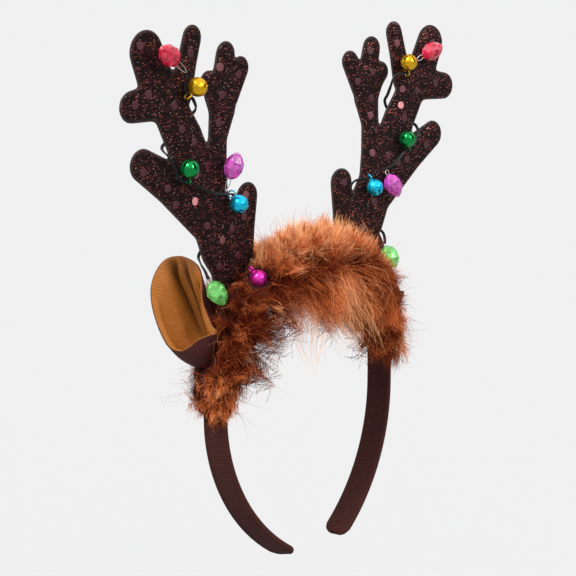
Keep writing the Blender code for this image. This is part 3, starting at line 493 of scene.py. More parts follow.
def band_frame(line, index):
    """The way along the band, out of it and across it at one point of its line."""
    ahead = line[min(index + 1, len(line) - 1)] - line[max(index - 1, 0)]
    ahead = ahead / np.linalg.norm(ahead)
    out = np.cross(ahead, (0.0, 1.0, 0.0))
    out = -out / np.linalg.norm(out)
    if np.dot(out, line[index] - (0.0, 0.0, WIDEST_LEVEL)) < 0:
        out = -out
    across = np.cross(ahead, out)
    across = across / np.linalg.norm(across)
    across = across * (1 if across[1] > 0 else -1)
    side = "left" if line[index][0] < 0 else "right"
    drop = max(0.0, WIDEST_LEVEL - line[index][2]) / ARM_DROP
    twist = math.radians(ARM_TWIST[side] * min(drop, 1.0))
    turned_out = out * math.cos(twist) - across * math.sin(twist)
    return ahead, turned_out, across * math.cos(twist) + out * math.sin(twist)


def band_section(half, wide):
    """Round the band, as away and across pairs: rounded edges and a lapped seam inside."""
    flats = {
        1: (
            (-half, wide * 0.5), (-half, 1.6), (-half - SEAM_LAP, 1.2), (-half - SEAM_LAP, 0.4),
            (-half, -0.1), (-half, -wide * 0.5),
        ),
        -1: ((half, -wide * 0.5), (half, 0.0), (half, wide * 0.5)),
    }
    found = []
    for sign, flat in flats.items():
        for turn in (math.pi * step / 8 for step in range(9)):
            over = wide - RIBBON_EDGE + math.sin(turn) * RIBBON_EDGE
            found.append((sign * math.cos(turn) * half, sign * over))
        found += flat
    return found


def make_band(settings, finish):
    line = band_line(221)
    half, wide = settings.thickness / MM / 2, settings.width / MM / 2
    frames = [band_frame(line, i) for i in range(len(line))]
    rows = [(line[0] + frames[0][0] * run, frames[0], cut, thin) for run, cut, thin in BAND_TIPS]
    rows += [(line[i], frames[i], 0.0, 1.0) for i in range(2, len(line) - 2)]
    rows += [(line[-1] - frames[-1][0] * run, frames[-1], cut, thin) for run, cut, thin in BAND_TIPS[::-1]]
    points, spots = [], []
    run, before = 0.0, rows[0][0]
    for at, (_, out, across), cut, thin in rows:
        run += float(np.linalg.norm(at - before))
        before = at
        ring = band_section(half * thin, wide - cut)
        round_run, last = 0.0, ring[0]
        for away, over in ring:
            points.append(at + out * away + across * over)
            round_run += math.hypot(away - last[0], over - last[1])
            last = (away, over)
            spots.append((run * MAP_STEP, round_run * MAP_STEP))
    faces = ring_faces(len(rows), len(ring), capped=True)
    piece = new_piece("band_ribbon", points, faces, [finish], "ribbon", ["band"])
    name_layer(piece.data, "Cloth", spots)


# Antlers


def antler_matrix(side):
    at, yaw, pitch, lean = ANTLER_PLACES[side]
    matrix = Matrix.Translation(Vector(at) * MM)
    for degrees, axis in ((yaw, "Z"), (-pitch, "X"), (-SIDES[side] * lean, "Y")):
        matrix = matrix @ Matrix.Rotation(math.radians(degrees), 4, axis)
    return matrix


def in_antler(side, spot):
    """A place in an antler's frame: its across runs towards -X on the left antler."""
    across, depth, up = spot
    return Vector((SIDES[side] * across, depth, up))


def above_band(points):
    """How far points in the XZ plane are outside the band's middle line."""
    line = band_line(500)[:, [0, 2]]
    near = np.sqrt(((points[:, None, :] - line[None, :, :]) ** 2).sum(2)).min(1)
    level = points[:, 1] - WIDEST_LEVEL
    reach = (np.abs(points[:, 0]) / (BAND_SPAN / 2)) ** BAND_SHOULDER
    reach += (np.clip(level, 0, None) / BAND_RISE) ** BAND_SHOULDER
    return np.where((reach > 1) & (level > 0), near, -near)


def edge_distance(points, side):
    """How far inside the antler's outline each point is."""
    found = []
    for branch, rows in BRANCHES.items():
        lean = TIP_LEAN[side].get(branch, 0.0)
        rows = (*rows[:-1], (rows[-1][0] + lean, *rows[-1][1:]))
        for start, end in zip(rows, rows[1:]):
            begin = np.array(start[:2])
            step = np.array(end[:2]) - begin
            part = np.clip(((points - begin) @ step) / (step @ step), 0, 1)
            width = start[2] + (end[2] - start[2]) * part
            found.append(width - np.linalg.norm(points - (begin + part[:, None] * step), axis=1))
    spot = ANTLER_PLACES[side][0]
    world = np.stack([spot[0] + SIDES[side] * points[:, 0], spot[2] + points[:, 1]], -1)
    return np.minimum(np.max(found, axis=0), above_band(world) - BAND_THICKNESS / 2 - 0.4)


def pad_half(depth_in):
    raised = np.clip(depth_in - RIM_WIDTH, 0, None)
    return RIM_HALF + (PAD_HALF - RIM_HALF) * (1 - np.exp(-raised / PAD_ROUNDING))


def filled(piece, held, pressure, most):
    """Blows up a cloth piece with its held points fixed, at ten times its size, and caps the swell."""
    mesh = piece.data
    rest = np.zeros(len(mesh.vertices) * 3)
    mesh.vertices.foreach_get("co", rest)
    big = rest * 10
    mesh.vertices.foreach_set("co", big)
    group = piece.vertex_groups.new(name="held")
    group.add([int(i) for i in np.flatnonzero(held)], 1.0, "REPLACE")
    cloth = piece.modifiers.new("filling", "CLOTH")
    cloth.settings.use_pressure = True
    cloth.settings.uniform_pressure_force = pressure
    cloth.settings.vertex_group_mass = group.name
    cloth.settings.effector_weights.gravity = 0.0
    cloth.settings.quality = 5
    cloth.point_cache.frame_start = 1
    cloth.point_cache.frame_end = 21
    scene = bpy.context.scene
    for number in range(1, 21):
        scene.frame_set(number)
    settled = np.zeros(len(rest))
    piece.evaluated_get(bpy.context.evaluated_depsgraph_get()).data.vertices.foreach_get("co", settled)
    piece.modifiers.remove(cloth)
    scene.frame_set(1)
    move = (settled - big).reshape(-1, 3) / 10
    size = np.linalg.norm(move, axis=1, keepdims=True)
    move *= np.minimum(1.0, most / np.maximum(size, 1e-9))
    mesh.vertices.foreach_set("co", (rest.reshape(-1, 3) + move).ravel())
    mesh.update()


def outline_loops(side, level):
    """Closed rows of points where the antler's outline runs, drawn in by a level."""
    us, vs = (np.arange(*span, 0.7) for span in ANTLER_SPAN)
    grid = np.stack(np.meshgrid(us, vs, indexing="ij"), -1)
    values = edge_distance(grid.reshape(-1, 2), side).reshape(len(us), len(vs)) - level
    inside = values > 0
    links = {}
    for i, j in np.argwhere(inside[:-1, :-1] | inside[1:, :-1] | inside[1:, 1:] | inside[:-1, 1:]):
        around = [inside[i, j], inside[i + 1, j], inside[i + 1, j + 1], inside[i, j + 1]]
        sides = (("u", i, j), ("v", i + 1, j), ("u", i, j + 1), ("v", i, j))
        crossed = [sides[k] for k in range(4) if around[k] != around[(k + 1) % 4]]
        for one, two in zip(crossed[::2], crossed[1::2]):
            links.setdefault(one, []).append(two)
            links.setdefault(two, []).append(one)
    loops = []
    while links:
        key = next(iter(links))
        loop = []
        while key is not None:
            kind, i, j = key
            other = (i + 1, j) if kind == "u" else (i, j + 1)
            part = values[i, j] / (values[i, j] - values[other])
            loop.append((us[i] + (us[other[0]] - us[i]) * part, vs[j] + (vs[other[1]] - vs[j]) * part))
            beside = links.pop(key)
            key = next((k for k in beside if k in links), None)
        loop = np.array(loop)
        if len(loop) > 20:
            for _ in range(4):
                loop = loop * 0.5 + (np.roll(loop, 1, 0) + np.roll(loop, -1, 0)) * 0.25
            loops.append(loop)
    return loops


def antler_skin(side, spacing):
    """The flat shape's points, each one's distance from the edge, and its triangles."""
    points, edges = [], []
    for level in (0.0, RIM_WIDTH):
        for loop in outline_loops(side, level):
            length = np.linalg.norm(loop - np.roll(loop, 1, 0), axis=1).sum()
            row = resampled(np.vstack([loop, loop[:1]]), max(12, round(length / spacing)) + 1)[:-1]
            start = len(points)
            points += [Vector(p) for p in row]
            edges += [(start + k, start + (k + 1) % len(row)) for k in range(len(row))]
    across, up = ANTLER_SPAN
    rows = enumerate(np.arange(*up, spacing * 0.866))
    grid = np.array([(u + spacing / 2 * (n % 2), v) for n, v in rows for u in np.arange(*across, spacing)])
    points += [Vector(p) for p in grid[edge_distance(grid, side) > RIM_WIDTH + spacing * 0.6]]
    verts, _, cells, *_ = delaunay_2d_cdt(points, edges, [], 1, 1e-4)
    flat = np.array([tuple(v) for v in verts])
    return flat, edge_distance(flat, side), [tuple(c) for c in cells]


def make_antler(side, settings, finish):
    """A padded antler: two cloth skins joined flat round their edge and filled in between."""
    flat, inside, cells = antler_skin(side, settings.spacing / MM)
    count = len(flat)
    ways = dict.fromkeys(pair for cell in cells for pair in zip(cell, cell[1:] + cell[:1]))
    rim = [(one, two) for one, two in ways if (two, one) not in ways]
    on_rim = np.zeros(count, bool)
    on_rim[[i for pair in rim for i in pair]] = True
    inside = np.where(on_rim, 0.0, np.maximum(inside, 0.0))
    half = pad_half(inside) - PAD_SLACK * np.clip((inside - RIM_WIDTH) / 6.0, 0, 1)
    half = np.where(on_rim, RIM_FOLD, half)
    points = [in_antler(side, (u, sign * h, v)) for sign in (-1, 1) for (u, v), h in zip(flat, half)]
    faces = cells + [tuple(i + count for i in reversed(cell)) for cell in cells]
    faces += [(two, one, one + count, two + count) for one, two in rim]
    piece = new_piece(f"antler_{side}_cloth", points, faces, [finish], "glitter_fabric", [f"antler_{side}"])
    filled(piece, np.tile(inside, 2) < RIM_WIDTH + 0.1, settings.pressure, settings.swell)
    name_values(piece.data, "edge", np.tile(np.clip((1.5 - inside) / 0.9, 0, 1), 2))
    piece.data.transform(antler_matrix(side))
    face_outwards(piece.data)
    finer = piece.modifiers.new("finer", "SUBSURF")
    finer.levels = finer.render_levels = 1
    return piece


def make_sequins(side, settings, antler, finishes):
    """Sequins stuck on both faces of an antler, a little askew."""
    chance = random.Random(3 if side == "left" else 4)
    spot = antler_matrix(side)
    tree = BVHTree.FromObject(antler, bpy.context.evaluated_depsgraph_get())
    rows = [(u, v, tone, -1) for u, v, tone in SEQUINS[side]]
    rows += [(u + chance.uniform(-5, 5), v + chance.uniform(-5, 5), 0, 1) for u, v, _ in SEQUINS[side]]
    radius = settings.sequin_size / MM / 2
    sides, rings = 18, len(SEQUIN_RINGS)
    points, faces, tones = [], [], []
    for u, v, tone, face in rows:
        if edge_distance(np.array([(u, v)]), side)[0] < radius + 1.0:
            continue
        start = spot @ (in_antler(side, (u, face * 20.0, v)) * MM)
        hit, normal, *_ = tree.ray_cast(start, spot.to_3x3() @ Vector((0.0, -float(face), 0.0)))
        if hit is None:
            continue
        normal = (normal + Vector([chance.uniform(-0.05, 0.05) for _ in range(3)])).normalized()
        one_way = normal.orthogonal().normalized()
        other = normal.cross(one_way)
        base = len(points)
        for part, lift in SEQUIN_RINGS:
            for c, s in circle(sides):
                points.append(hit / MM + (one_way * c + other * s) * radius * part + normal * lift)
        points.append(hit / MM + normal * SEQUIN_DOME)
        for k in range(sides):
            beside = (k + 1) % sides
            faces.append((base + rings * sides, base + k, base + beside))
            for low in range(base, base + (rings - 1) * sides, sides):
                faces.append((low + k, low + sides + k, low + sides + beside, low + beside))
        tones += [tone] * rings * sides
    piece = new_piece(f"sequins_{side}", points, faces, finishes, "glitter_fabric")
    piece.data.polygons.foreach_set("material_index", tones)


# Ears


def ear_frame(side):
    mirror = Vector((SIDES[side], 1, 1))
    along = (Vector(EAR_ALONG) * mirror).normalized()
    toward = Vector(EAR_TOWARD) * mirror
    toward = (toward - along * toward.dot(along)).normalized()
    across = Vector(EAR_ALONG).cross(Vector(EAR_TOWARD)).normalized()
    across = Vector((-abs(across[0]) * SIDES[side], -abs(across[1]), abs(across[2])))
    across = (across - along * across.dot(along) - toward * across.dot(toward)).normalized()
    return Vector(EAR_ROOT) * mirror, along, across, toward


def ear_surface(around, levels):
    """The ear's outside as rings from the foot to the rim, in its own frame, with its pleats' lifts."""
    rim = smooth_route(EAR_RIM, around, closed=True)
    turns = np.unwrap([math.atan2(p[2] - 5.0, p[1] / 1.2) for p in rim])
    parts = np.linspace(0.0, 1.0, levels)
    middle, half = EAR_FOOT_MIDDLE, EAR_FOOT_HALF
    rings = []
    for part in parts:
        ring = []
        for end, turn in zip(rim, turns):
            out = np.array([0.0, math.cos(turn), math.sin(turn)])
            foot = np.array((0.0, middle[0] + half[0] * out[1], middle[1] + half[1] * out[2]))
            swell = EAR_BULGE * (0.45 if end[1] > 6 else 1.0)
            swell *= np.linalg.norm(end - foot) * math.sin(math.pi * part**0.8)
            ring.append(foot + (end - foot) * part + out * swell)
        rings.append(ring)
    places = np.arange(around) / around
    both, extra = np.zeros(around), np.zeros(around)
    for place, wide, depth, lift in EAR_PLEATS:
        shape = np.exp(-(((places - place + 0.5) % 1.0 - 0.5) / wide) ** 2)
        both += depth * shape
        extra += lift * shape
    fold = np.minimum(1.0, parts / 0.4) ** 1.3 * (1.0 - 0.9 * np.clip((parts - 0.80) / 0.20, 0, 1) ** 1.5)
    return np.array(rings), fold[:, None] * both[None], fold[:, None] * extra[None]


def ring_normals(rings):
    across = np.roll(rings, -1, axis=1) - np.roll(rings, 1, axis=1)
    out = unit_rows(np.cross(across, np.gradient(rings, axis=0)))
    middle = rings.mean(axis=1, keepdims=True)
    return -out if ((rings - middle) * out).sum() < 0 else out


def make_ear_layer(side, layer, finish):
    """One layer of an ear, a cup whose wall thins towards its rim, where both layers meet."""
    offsets, ends, slot = EAR_LAYERS[layer]
    rings, both, extra = ear_surface(150, 32)
    normals = ring_normals(rings)
    lifts = both + extra if layer == "lining" else both
    root, along, across, toward = ear_frame(side)
    turn = np.array(Matrix((along, across, toward)).transposed())
    levels, count, _ = rings.shape
    part = np.linspace(0, 1, levels)[:, None, None]
    thin = np.clip((part - 0.86) / 0.14, 0, 1) ** 1.5
    points, faces, spots = [], [], []
    for offset, end in zip(offsets, ends):
        skin = rings - normals * (offset * (1 - thin) + end * thin)
        skin[0, :, 0] += offset
        skin = skin - normals * lifts[..., None]
        start = len(points)
        # The ribs of the satin bend with the ear's own curve
        for p in skin.reshape(-1, 3):
            points.append(p)
            bent = p[0] + p[1] * (0.22 + 0.020 * max(0.0, 34.0 - p[0])) - 0.004 * p[1] ** 2
            spots.append((bent * MAP_STEP, (p[1] - 0.3 * p[0]) * MAP_STEP))
        pole = skin[0].mean(axis=0) - (EAR_FOOT_DEPTH, 0.0, 0.0)
        points.append(pole)
        spots.append((pole[0] * MAP_STEP, pole[1] * MAP_STEP))
        faces += ring_faces(levels, count, start)
        faces += [(start + levels * count, start + (k + 1) % count, start + k) for k in range(count)]
    top = (levels - 1) * count
    inner_top = top + levels * count + 1
    edge = len(points)
    tip_way = unit_rows(rings[-1] - rings[-2])
    halfway = (np.array(points[top:top + count]) + np.array(points[inner_top:inner_top + count])) / 2
    points += list(halfway + tip_way * 0.22)
    spots += spots[top:top + count]
    for k in range(count):
        beside = (k + 1) % count
        faces.append((top + k, top + beside, edge + beside, edge + k))
        faces.append((edge + k, edge + beside, inner_top + beside, inner_top + k))
    points = [tuple(turn @ np.array(p) + np.array(root)) for p in points]
    node = f"ear_{layer}_{side}"
    piece = new_piece(f"{node}_satin", points, faces, [finish], slot, [node])
    name_layer(piece.data, "Cloth", spots)
    # Painted shade: the fold attribute darkens the satin in the deepest pleats and in a broad band about a
    # third of the way round the rim
    painted_side_shade = 0.50 * np.exp(-(((np.arange(count) / count - 0.345) / 0.055) ** 2))
    hollow = np.clip(np.clip(-both / 2.2, 0, 1) + painted_side_shade[None], 0, 1).ravel()
    name_values(piece.data, "fold", np.concatenate([hollow, [0], hollow, [0], np.zeros(count)]))
    face_outwards(piece.data)
    return piece


# Fur


def strands_piece(name, routes, half_widths, tones, facing, finish):
    """Thin tapered strips, one for each route, with a map that holds tone and place along it.

    A strip's flat side turns towards its facing, and its light leans that way too, for the soft shade
    of down.
    """
    count, knots, _ = routes.shape
    sides = unit_rows(np.cross(np.gradient(routes, axis=1), facing[:, None, :]))
    reach = sides[:, :-1] * half_widths[:, :-1, None]
    size = 2 * knots - 1
    points = np.empty((count, size, 3))
    points[:, 0:-1:2] = routes[:, :-1] - reach
    points[:, 1:-1:2] = routes[:, :-1] + reach
    points[:, -1] = routes[:, -1]
    along = np.linspace(0.04, 0.96, knots)
    level = np.clip((tones - TONE_LOW) / TONE_SPAN, 0.03, 0.97)
    spots = np.empty((count, size, 2))
    spots[..., 0] = level[:, None] + np.append(np.tile((-TONE_HALF, TONE_HALF), knots - 1), 0.0)
    spots[..., 1] = np.append(np.repeat(along[:-1], 2), along[-1])
    cells = [2 * k + step for k in range(knots - 2) for step in (0, 1, 3, 2)]
    cells = np.array(cells + [size - 3, size - 2, size - 1])
    corners = (np.arange(count)[:, None] * size + cells[None]).ravel()
    totals = np.tile([4] * (knots - 2) + [3], count)
    starts = np.concatenate([[0], np.cumsum(totals)[:-1]])
    mesh = bpy.data.meshes.new(name)
    mesh.vertices.add(count * size)
    mesh.vertices.foreach_set("co", (points * MM).astype(np.float32).ravel())
    mesh.loops.add(len(corners))
    mesh.loops.foreach_set("vertex_index", corners.astype(np.int32))
    mesh.polygons.add(len(totals))
    mesh.polygons.foreach_set("loop_start", starts.astype(np.int32))
    mesh.update(calc_edges=True)
    name_layer(mesh, "OFBake", spots.reshape(-1, 2))
    mean = unit_rows(routes[:, -1] - routes[:, 0])
    flat = unit_rows(facing - mean * (facing * mean).sum(1)[:, None])
    mesh.normals_split_custom_set_from_vertices(np.repeat(unit_rows(flat + 0.35 * facing), size, axis=0))
    new_object(name, mesh, [finish])


def fur_skin():
    """The fur solid's points, triangles, tufts' feet, rise and way out of the band, and places along it."""
    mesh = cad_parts["fur_trim"].data
    mesh.calc_loop_triangles()
    raw = np.array([v.co for v in mesh.vertices]) / MM
    cells = np.array([t.vertices for t in mesh.loop_triangles])
    _, first, index = np.unique(np.round(raw, 3), axis=0, return_index=True, return_inverse=True)
    points = raw[first]
    cells = index.reshape(-1)[cells]
    line = band_line(600)
    nearest = ((points[:, None, :] - line[None]) ** 2).sum(2).argmin(1)
    out = unit_rows(points - line[nearest])
    total = np.zeros_like(points)
    uses = np.zeros(len(points))
    for one, two in ((0, 1), (1, 0), (1, 2), (2, 1), (2, 0), (0, 2)):
        np.add.at(total, cells[:, one], points[cells[:, two]])
        np.add.at(uses, cells[:, one], 1)
    feet = total / uses[:, None]
    return points, cells, feet, ((points - feet) * out).sum(1), out, nearest / (len(line) - 1)


def obstacles():
    """A tree of the solids that the fur grows round."""
    shapes = [
        ([v.co.copy() for v in node.data.vertices], [p.vertices for p in node.data.polygons])
        for name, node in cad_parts.items() if name.startswith(("antler", "ear", "bell", "bead"))
    ]
    return BVHTree.FromPolygons(*joined(shapes))


def free_reach(tree, start, way, reach):
    """How much of a strand's reach is free of the tree's surfaces."""
    hit, _, _, far = tree.ray_cast(Vector(start * MM), Vector(way), reach * MM)
    return reach if hit is None else far / MM - 0.2


def in_head_room(spots):
    """Which points lie in the room that the head takes under the band."""
    level = -4.5 - 0.0105 * spots[..., 0] ** 2
    return (np.abs(spots[..., 1]) < 9.4) & (np.abs(spots[..., 0]) < 57) & (spots[..., 2] < level)


def clear_of_trims(routes):
    """Which strands leave the magenta bell and the lime bead in view in front of the fur."""
    keep = np.ones(len(routes), bool)
    toward = np.array(OPEN_WAY) / np.linalg.norm(OPEN_WAY)
    for place, room, far in OPEN_ROOMS:
        gap = routes - np.array(antler_matrix("left") @ (in_antler("left", place) * MM) / MM)
        along = np.clip((gap * toward).sum(-1), 0.0, far)
        keep &= (np.linalg.norm(gap - along[..., None] * toward, axis=-1) > room).all(1)
    return keep


def clear_of_solids(tree, routes):
    """Which strands pass through none of the solids that the fur grows round."""
    keep = np.ones(len(routes), bool)
    for i, route in enumerate(routes * MM):
        middle, start = Vector(route[len(route) // 2]), Vector(route[1])
        if tree.find_nearest(middle, 6.0 * MM)[0] is None:
            continue
        for step in (middle - start, Vector(route[-1]) - start):
            if tree.ray_cast(start, step.normalized(), step.length)[0] is not None:
                keep[i] = False
                break
    return keep


def clear_strands(tree, routes, reach):
    """Which strands may stay, out of the head's room, the trims' view and the solids, and in their reach."""
    keep = ~in_head_room(routes).any(1) & clear_of_trims(routes)
    keep &= (routes[..., 1] > reach[0]).all(1) & (routes[..., 1] < reach[1]).all(1)
    keep[keep] = clear_of_solids(tree, routes[keep])
    return keep


def down_tone_and_painted_light(out, place, spot, rng, spread):
    """How light the down is: light along the top, dark on the left column and below the top's front. The
    terms that follow the way the down faces are painted light and shade; the waves and the spread vary it at
    random.
    """
    tone = np.interp(place, TONE_PLACES, TONES)
    up, down = np.clip(out[:, 2], 0, 1), np.clip(-out[:, 2], 0, 1)
    crown = np.clip(1.0 - np.abs(place - 0.52) / 0.20, 0, 1)
    fringe = np.clip(1.0 - np.abs(place - 0.46) / 0.12, 0, 1)
    # Painted light: lighter where the down faces up, and where it faces down, as light through the thin
    # fringe
    tone += (0.62 + 0.16 * crown) * up * np.clip((place - 0.34) / 0.1, 0.2, 1) + down * (0.32 + 0.14 * fringe)
    # Painted shade where the down on the right part faces in towards the middle
    tone -= 0.20 * np.clip(-out[:, 0], 0, 1) * np.clip((place - 0.54) / 0.06, 0, 1)
    # Painted shadow along the front under the top, where the down runs level
    tone -= 0.50 * np.exp(-(((out[:, 2] + 0.02) / 0.30) ** 2)) * (out[:, 1] < 0) * crown
    wave = np.zeros(len(spot))
    for _ in range(7):
        way = unit_rows(rng.normal(0, 1, 3)) * rng.uniform(0.35, 0.9)
        wave += np.sin(spot @ way + rng.uniform(0, 6.28))
    return tone + 0.10 * wave + rng.normal(0, spread, len(spot))


def sideways(ways, rng, size=1.0):
    return np.cross(ways, rng.normal(0, size, ways.shape))


def bow(t):
    return 4 * t * (1 - t)


def end_share(place):
    """How near the fur's low end on the left a place is, from nought to one."""
    return np.clip((END_LOW - place) / END_RUN, 0, 1)


def grow_wisps(skin, settings, tree, rng):
    """Routes, tones, facings and places of strands that fan out in wisps from the solid's tufts."""
    points, _, feet, rise, out, place = skin
    owner = np.repeat(np.flatnonzero(rise > TUFT_RISE), settings.locks)
    first = np.arange(len(owner)) % settings.locks == 0
    way = unit_rows(points[owner] - feet[owner])
    length = np.linalg.norm(points[owner] - feet[owner], axis=1)
    lean = unit_rows(way + rng.normal(0, 0.42, way.shape) * np.where(first, 0.3, 1.0)[:, None])
    # At both ends of the fur the wisps lie down along the band
    tail = end_share(place[owner]) + 0.7 * np.clip((place[owner] - END_HIGH) / END_RUN, 0, 1)
    lean = unit_rows(lean + tail[:, None] * np.array((0.0, 0.0, -1.5)))
    base = feet[owner] - way * 2.6 + rng.normal(0, 1, way.shape) * (2.2 - 0.8 * tail)[:, None]
    reach = length * rng.uniform(0.6, 1.1, len(owner)) + rng.uniform(1.0, 5.0, len(owner))
    # Along the top's front the down hangs lower than elsewhere
    hang = np.clip(1.0 - np.abs(place[owner] - 0.50) / 0.16, 0, 1) * (base[:, 1] < -5.0)
    reach *= 1.0 + (0.40 * hang - 0.30 * (1.0 - hang)) * np.clip(-lean[:, 2], 0, 1)
    reach *= np.interp(place[owner], (0.23, 0.275, 0.32, 0.70, 0.74), (1.10, 1.0, 1.0, 1.15, 1.1))
    got = [free_reach(tree, at + way * 2.0, way, far) for at, way, far in zip(base, lean, reach)]
    free = np.maximum(0.0, got) / reach
    stay = free > 0.35
    reach = reach * np.minimum(free, 1.0)
    owner, base, lean, reach = (row[stay] for row in (owner, base, lean, reach))
    curl = sideways(lean, rng) * (reach * rng.uniform(0.03, 0.20, len(reach)))[:, None]
    tone = down_tone_and_painted_light(unit_rows(out[owner] + lean * 0.5), place[owner], base, rng, 0.19)
    share = reach * rng.uniform(0.5, 1.5, len(reach))
    lock = rng.choice(len(reach), size=settings.strands, p=share / share.sum())
    count = len(lock)
    spread = rng.normal(0, 1, (count, 3)) * rng.choice((0.12, 0.20, 0.36), count)[:, None]
    fan = unit_rows(lean[lock] + spread)
    start = base[lock] + rng.normal(0, 0.9, (count, 3))
    # The strands of a wisp draw together again towards its tip
    tight = rng.uniform(0.45, 0.95, len(reach))[lock][:, None] * (rng.random(count) < 0.8)[:, None]
    run = (reach[lock] * rng.uniform(0.35, 1.05, count))[:, None]
    bend = sideways(fan, rng) * run * 0.09
    knots = []
    for t in np.linspace(0, 1, len(DOWN_TAPER)):
        middle = base[lock] + lean[lock] * run * t
        aside = start + fan * run * t - middle
        sway = (curl[lock] * t + bend) * bow(t) + curl[lock] * 0.5 * t**2
        knots.append(middle + aside * (1.0 - tight * t * t) + sway)
    facing = unit_rows(out[owner[lock]] * 0.8 + UPWARD + rng.normal(0, 0.22, fan.shape))
    return np.stack(knots, 1), tone[lock] + rng.normal(0, 0.06, count), facing, place[owner[lock]]


def grow_fuzz(skin, settings, rng):
    """Routes, tones, facings and places of single short strands from all over the skin."""
    points, cells, _, rise, out, place = skin
    a, b, c = (points[cells[:, k]] for k in range(3))
    normal = np.cross(b - a, c - a)
    outward = (unit_rows(normal) * out[cells].mean(1)).sum(1) > -0.15
    chance = np.where(outward, np.linalg.norm(normal, axis=1), 0.0)
    picked = cells[rng.choice(len(cells), size=settings.fuzz, p=chance / chance.sum())]
    r1, r2 = np.sqrt(rng.random(len(picked))), rng.random(len(picked))
    weights = np.stack([1 - r1, r1 * (1 - r2), r1 * r2], 1)
    at = (points[picked] * weights[..., None]).sum(1)
    lift = (rise[picked] * weights).sum(1)
    away = out[picked].mean(1)
    place = place[picked[:, 0]]
    sag = end_share(place)[:, None] * np.array((0.0, 0.0, -1.2))
    grow = unit_rows(away + sag + rng.normal(0, 0.55, at.shape))
    start = at - grow * (2.0 + 0.8 * np.clip(lift, 0, 9))[:, None]
    stop = at + grow * (rng.uniform(0.2, 3.0, len(at)) * (1.0 - 0.3 * np.clip(-grow[:, 2], 0, 1)))[:, None]
    bend = sideways(grow, rng, 0.5)
    steps = np.linspace(0, 1, len(DOWN_TAPER))
    routes = np.stack([start + (stop - start) * t + bend * bow(t) for t in steps], 1)
    tones = down_tone_and_painted_light(away, place, at, rng, 0.10) - 0.12
    return routes, tones, unit_rows(away * 0.8 + UPWARD + rng.normal(0, 0.25, at.shape)), place


def make_fur(settings, core_finish, finish):
    """Marabou down: fanned wisps and fuzz that leave a narrow dark backing and taper to soft tips."""
    skin = fur_skin()
    points, cells, feet, rise, out, _ = skin
    rng = np.random.default_rng(settings.seed)
    tree = obstacles()
    grown = zip(grow_wisps(skin, settings, tree, rng), grow_fuzz(skin, settings, rng))
    routes, tones, facing, where = (np.concatenate(rows) for rows in grown)
    keep = clear_strands(tree, routes, DOWN_REACH)
    routes, tones, facing, where = routes[keep], tones[keep], facing[keep], where[keep]
    widths = settings.width / MM / 2 * rng.uniform(0.5, 1.2, len(routes))[:, None] * np.array(DOWN_TAPER)
    names = ("left_low", "left_top", "right_top", "right_low")
    for name, part in zip(names, np.array_split(np.argsort(where, kind="stable"), len(names))):
        strands_piece(f"fur_down_{name}", routes[part], widths[part], tones[part], facing[part], finish)
    # The narrow backing: the fur solid with its tufts drawn in, the trim's base in a dark colour that also
    # serves as painted shade in the gaps between the wisps
    drawn = points - out * np.where(rise > 0, rise * 0.80 + 1.0, 1.0)[:, None]
    new_piece("fur_backing", drawn, [tuple(cell) for cell in cells], [core_finish], "fur", ["fur_trim"])
    # Long single hairs
    chosen = rng.choice(np.flatnonzero(rise > TUFT_RISE), size=settings.strays)
    begin = points[chosen] * 0.5 + feet[chosen] * 0.5
    way = unit_rows(unit_rows(points[chosen] - feet[chosen]) + rng.normal(0, 0.5, begin.shape))
    far = rng.uniform(5.0, 19.0, len(chosen))
    stop = begin + way * far[:, None]
    bend = sideways(way, rng) * (far * rng.uniform(0.03, 0.28, len(far)))[:, None]
    knots = []
    for t in np.linspace(0, 1, len(STRAY_TAPER)):
        swing = bend * bow(t) + np.array((0.0, 0.0, -1.0)) * (0.012 * (far * t) ** 2)[:, None]
        knots.append(begin + (stop - begin) * t + swing)
    routes = np.stack(knots, 1)
    keep = clear_strands(tree, routes, STRAY_REACH)
    routes, chosen = routes[keep], chosen[keep]
    widths = rng.uniform(0.05, 0.085, len(routes))[:, None] * np.array(STRAY_TAPER)
    facing = unit_rows(out[chosen] * 0.8 + UPWARD + rng.normal(0, 0.3, (len(routes), 3)))
    strands_piece("fur_strays", routes, widths, rng.uniform(0.15, 0.6, len(routes)), facing, finish)


# Trims


def aimed(middle, target, beside):
    """A placement at middle with +Z towards target and +Y as near as can be to beside."""
    up = (target - middle).normalized()
    side = (beside - up * beside.dot(up)).normalized()
    turn = Matrix((side.cross(up), side, up)).transposed().to_4x4()
    return Matrix.Translation(middle * MM) @ turn


def loop_middle(name):
    ball, target = (in_antler(name.rsplit("_", 1)[1], spot) for spot in BELLS[name])
    return ball + (target - ball).normalized() * LOOP_REACH


def cord_route(side, count):
    spots = [loop_middle(p) if isinstance(p, str) else in_antler(side, p) for p in CORD_ROUTES[side]]
    return smooth_route([tuple(p) for p in spots], count)


def make_cord(side, settings, finish):
    """Two black strands laid side by side, with a slow twist."""
    route = cord_route(side, 300)
    size = settings.cord_strand / MM / 2
    run = run_along(route)
    shapes = []
    for start in (0.0, math.pi):
        turns = start + 0.5 + 2 * math.pi * run / CORD_TWIST
        offsets = np.stack([np.cos(turns), np.sin(turns)], 1) * size * 0.92
        shapes.append(tube(route, size, 10, offsets=offsets))
    spot = antler_matrix(side)
    piece = new_piece(f"cord_{side}_strands", *joined(shapes), [finish], "cord", [f"cord_{side}"], spot)


def temporary(name, points, faces):
    mesh = bpy.data.meshes.new(name)
    mesh.from_pydata([tuple(p) for p in points], [], [tuple(f) for f in faces])
    helper = bpy.data.objects.new(name, mesh)
    bpy.context.scene.collection.objects.link(helper)
    return helper


def ball_profile(radius, end, steps, middle=0.0, crimp=0.0):
    """Heights and radii from pole to pole of a ball, which may have a crimped joint round it."""
    found = []
    for step in range(steps + 1):
        turn = math.radians(-end + 2 * end * step / steps)
        size = radius + crimp * math.exp(-((math.degrees(turn) / 5.0) ** 2))
        found.append((middle + size * math.sin(turn), size * math.cos(turn)))
    return found


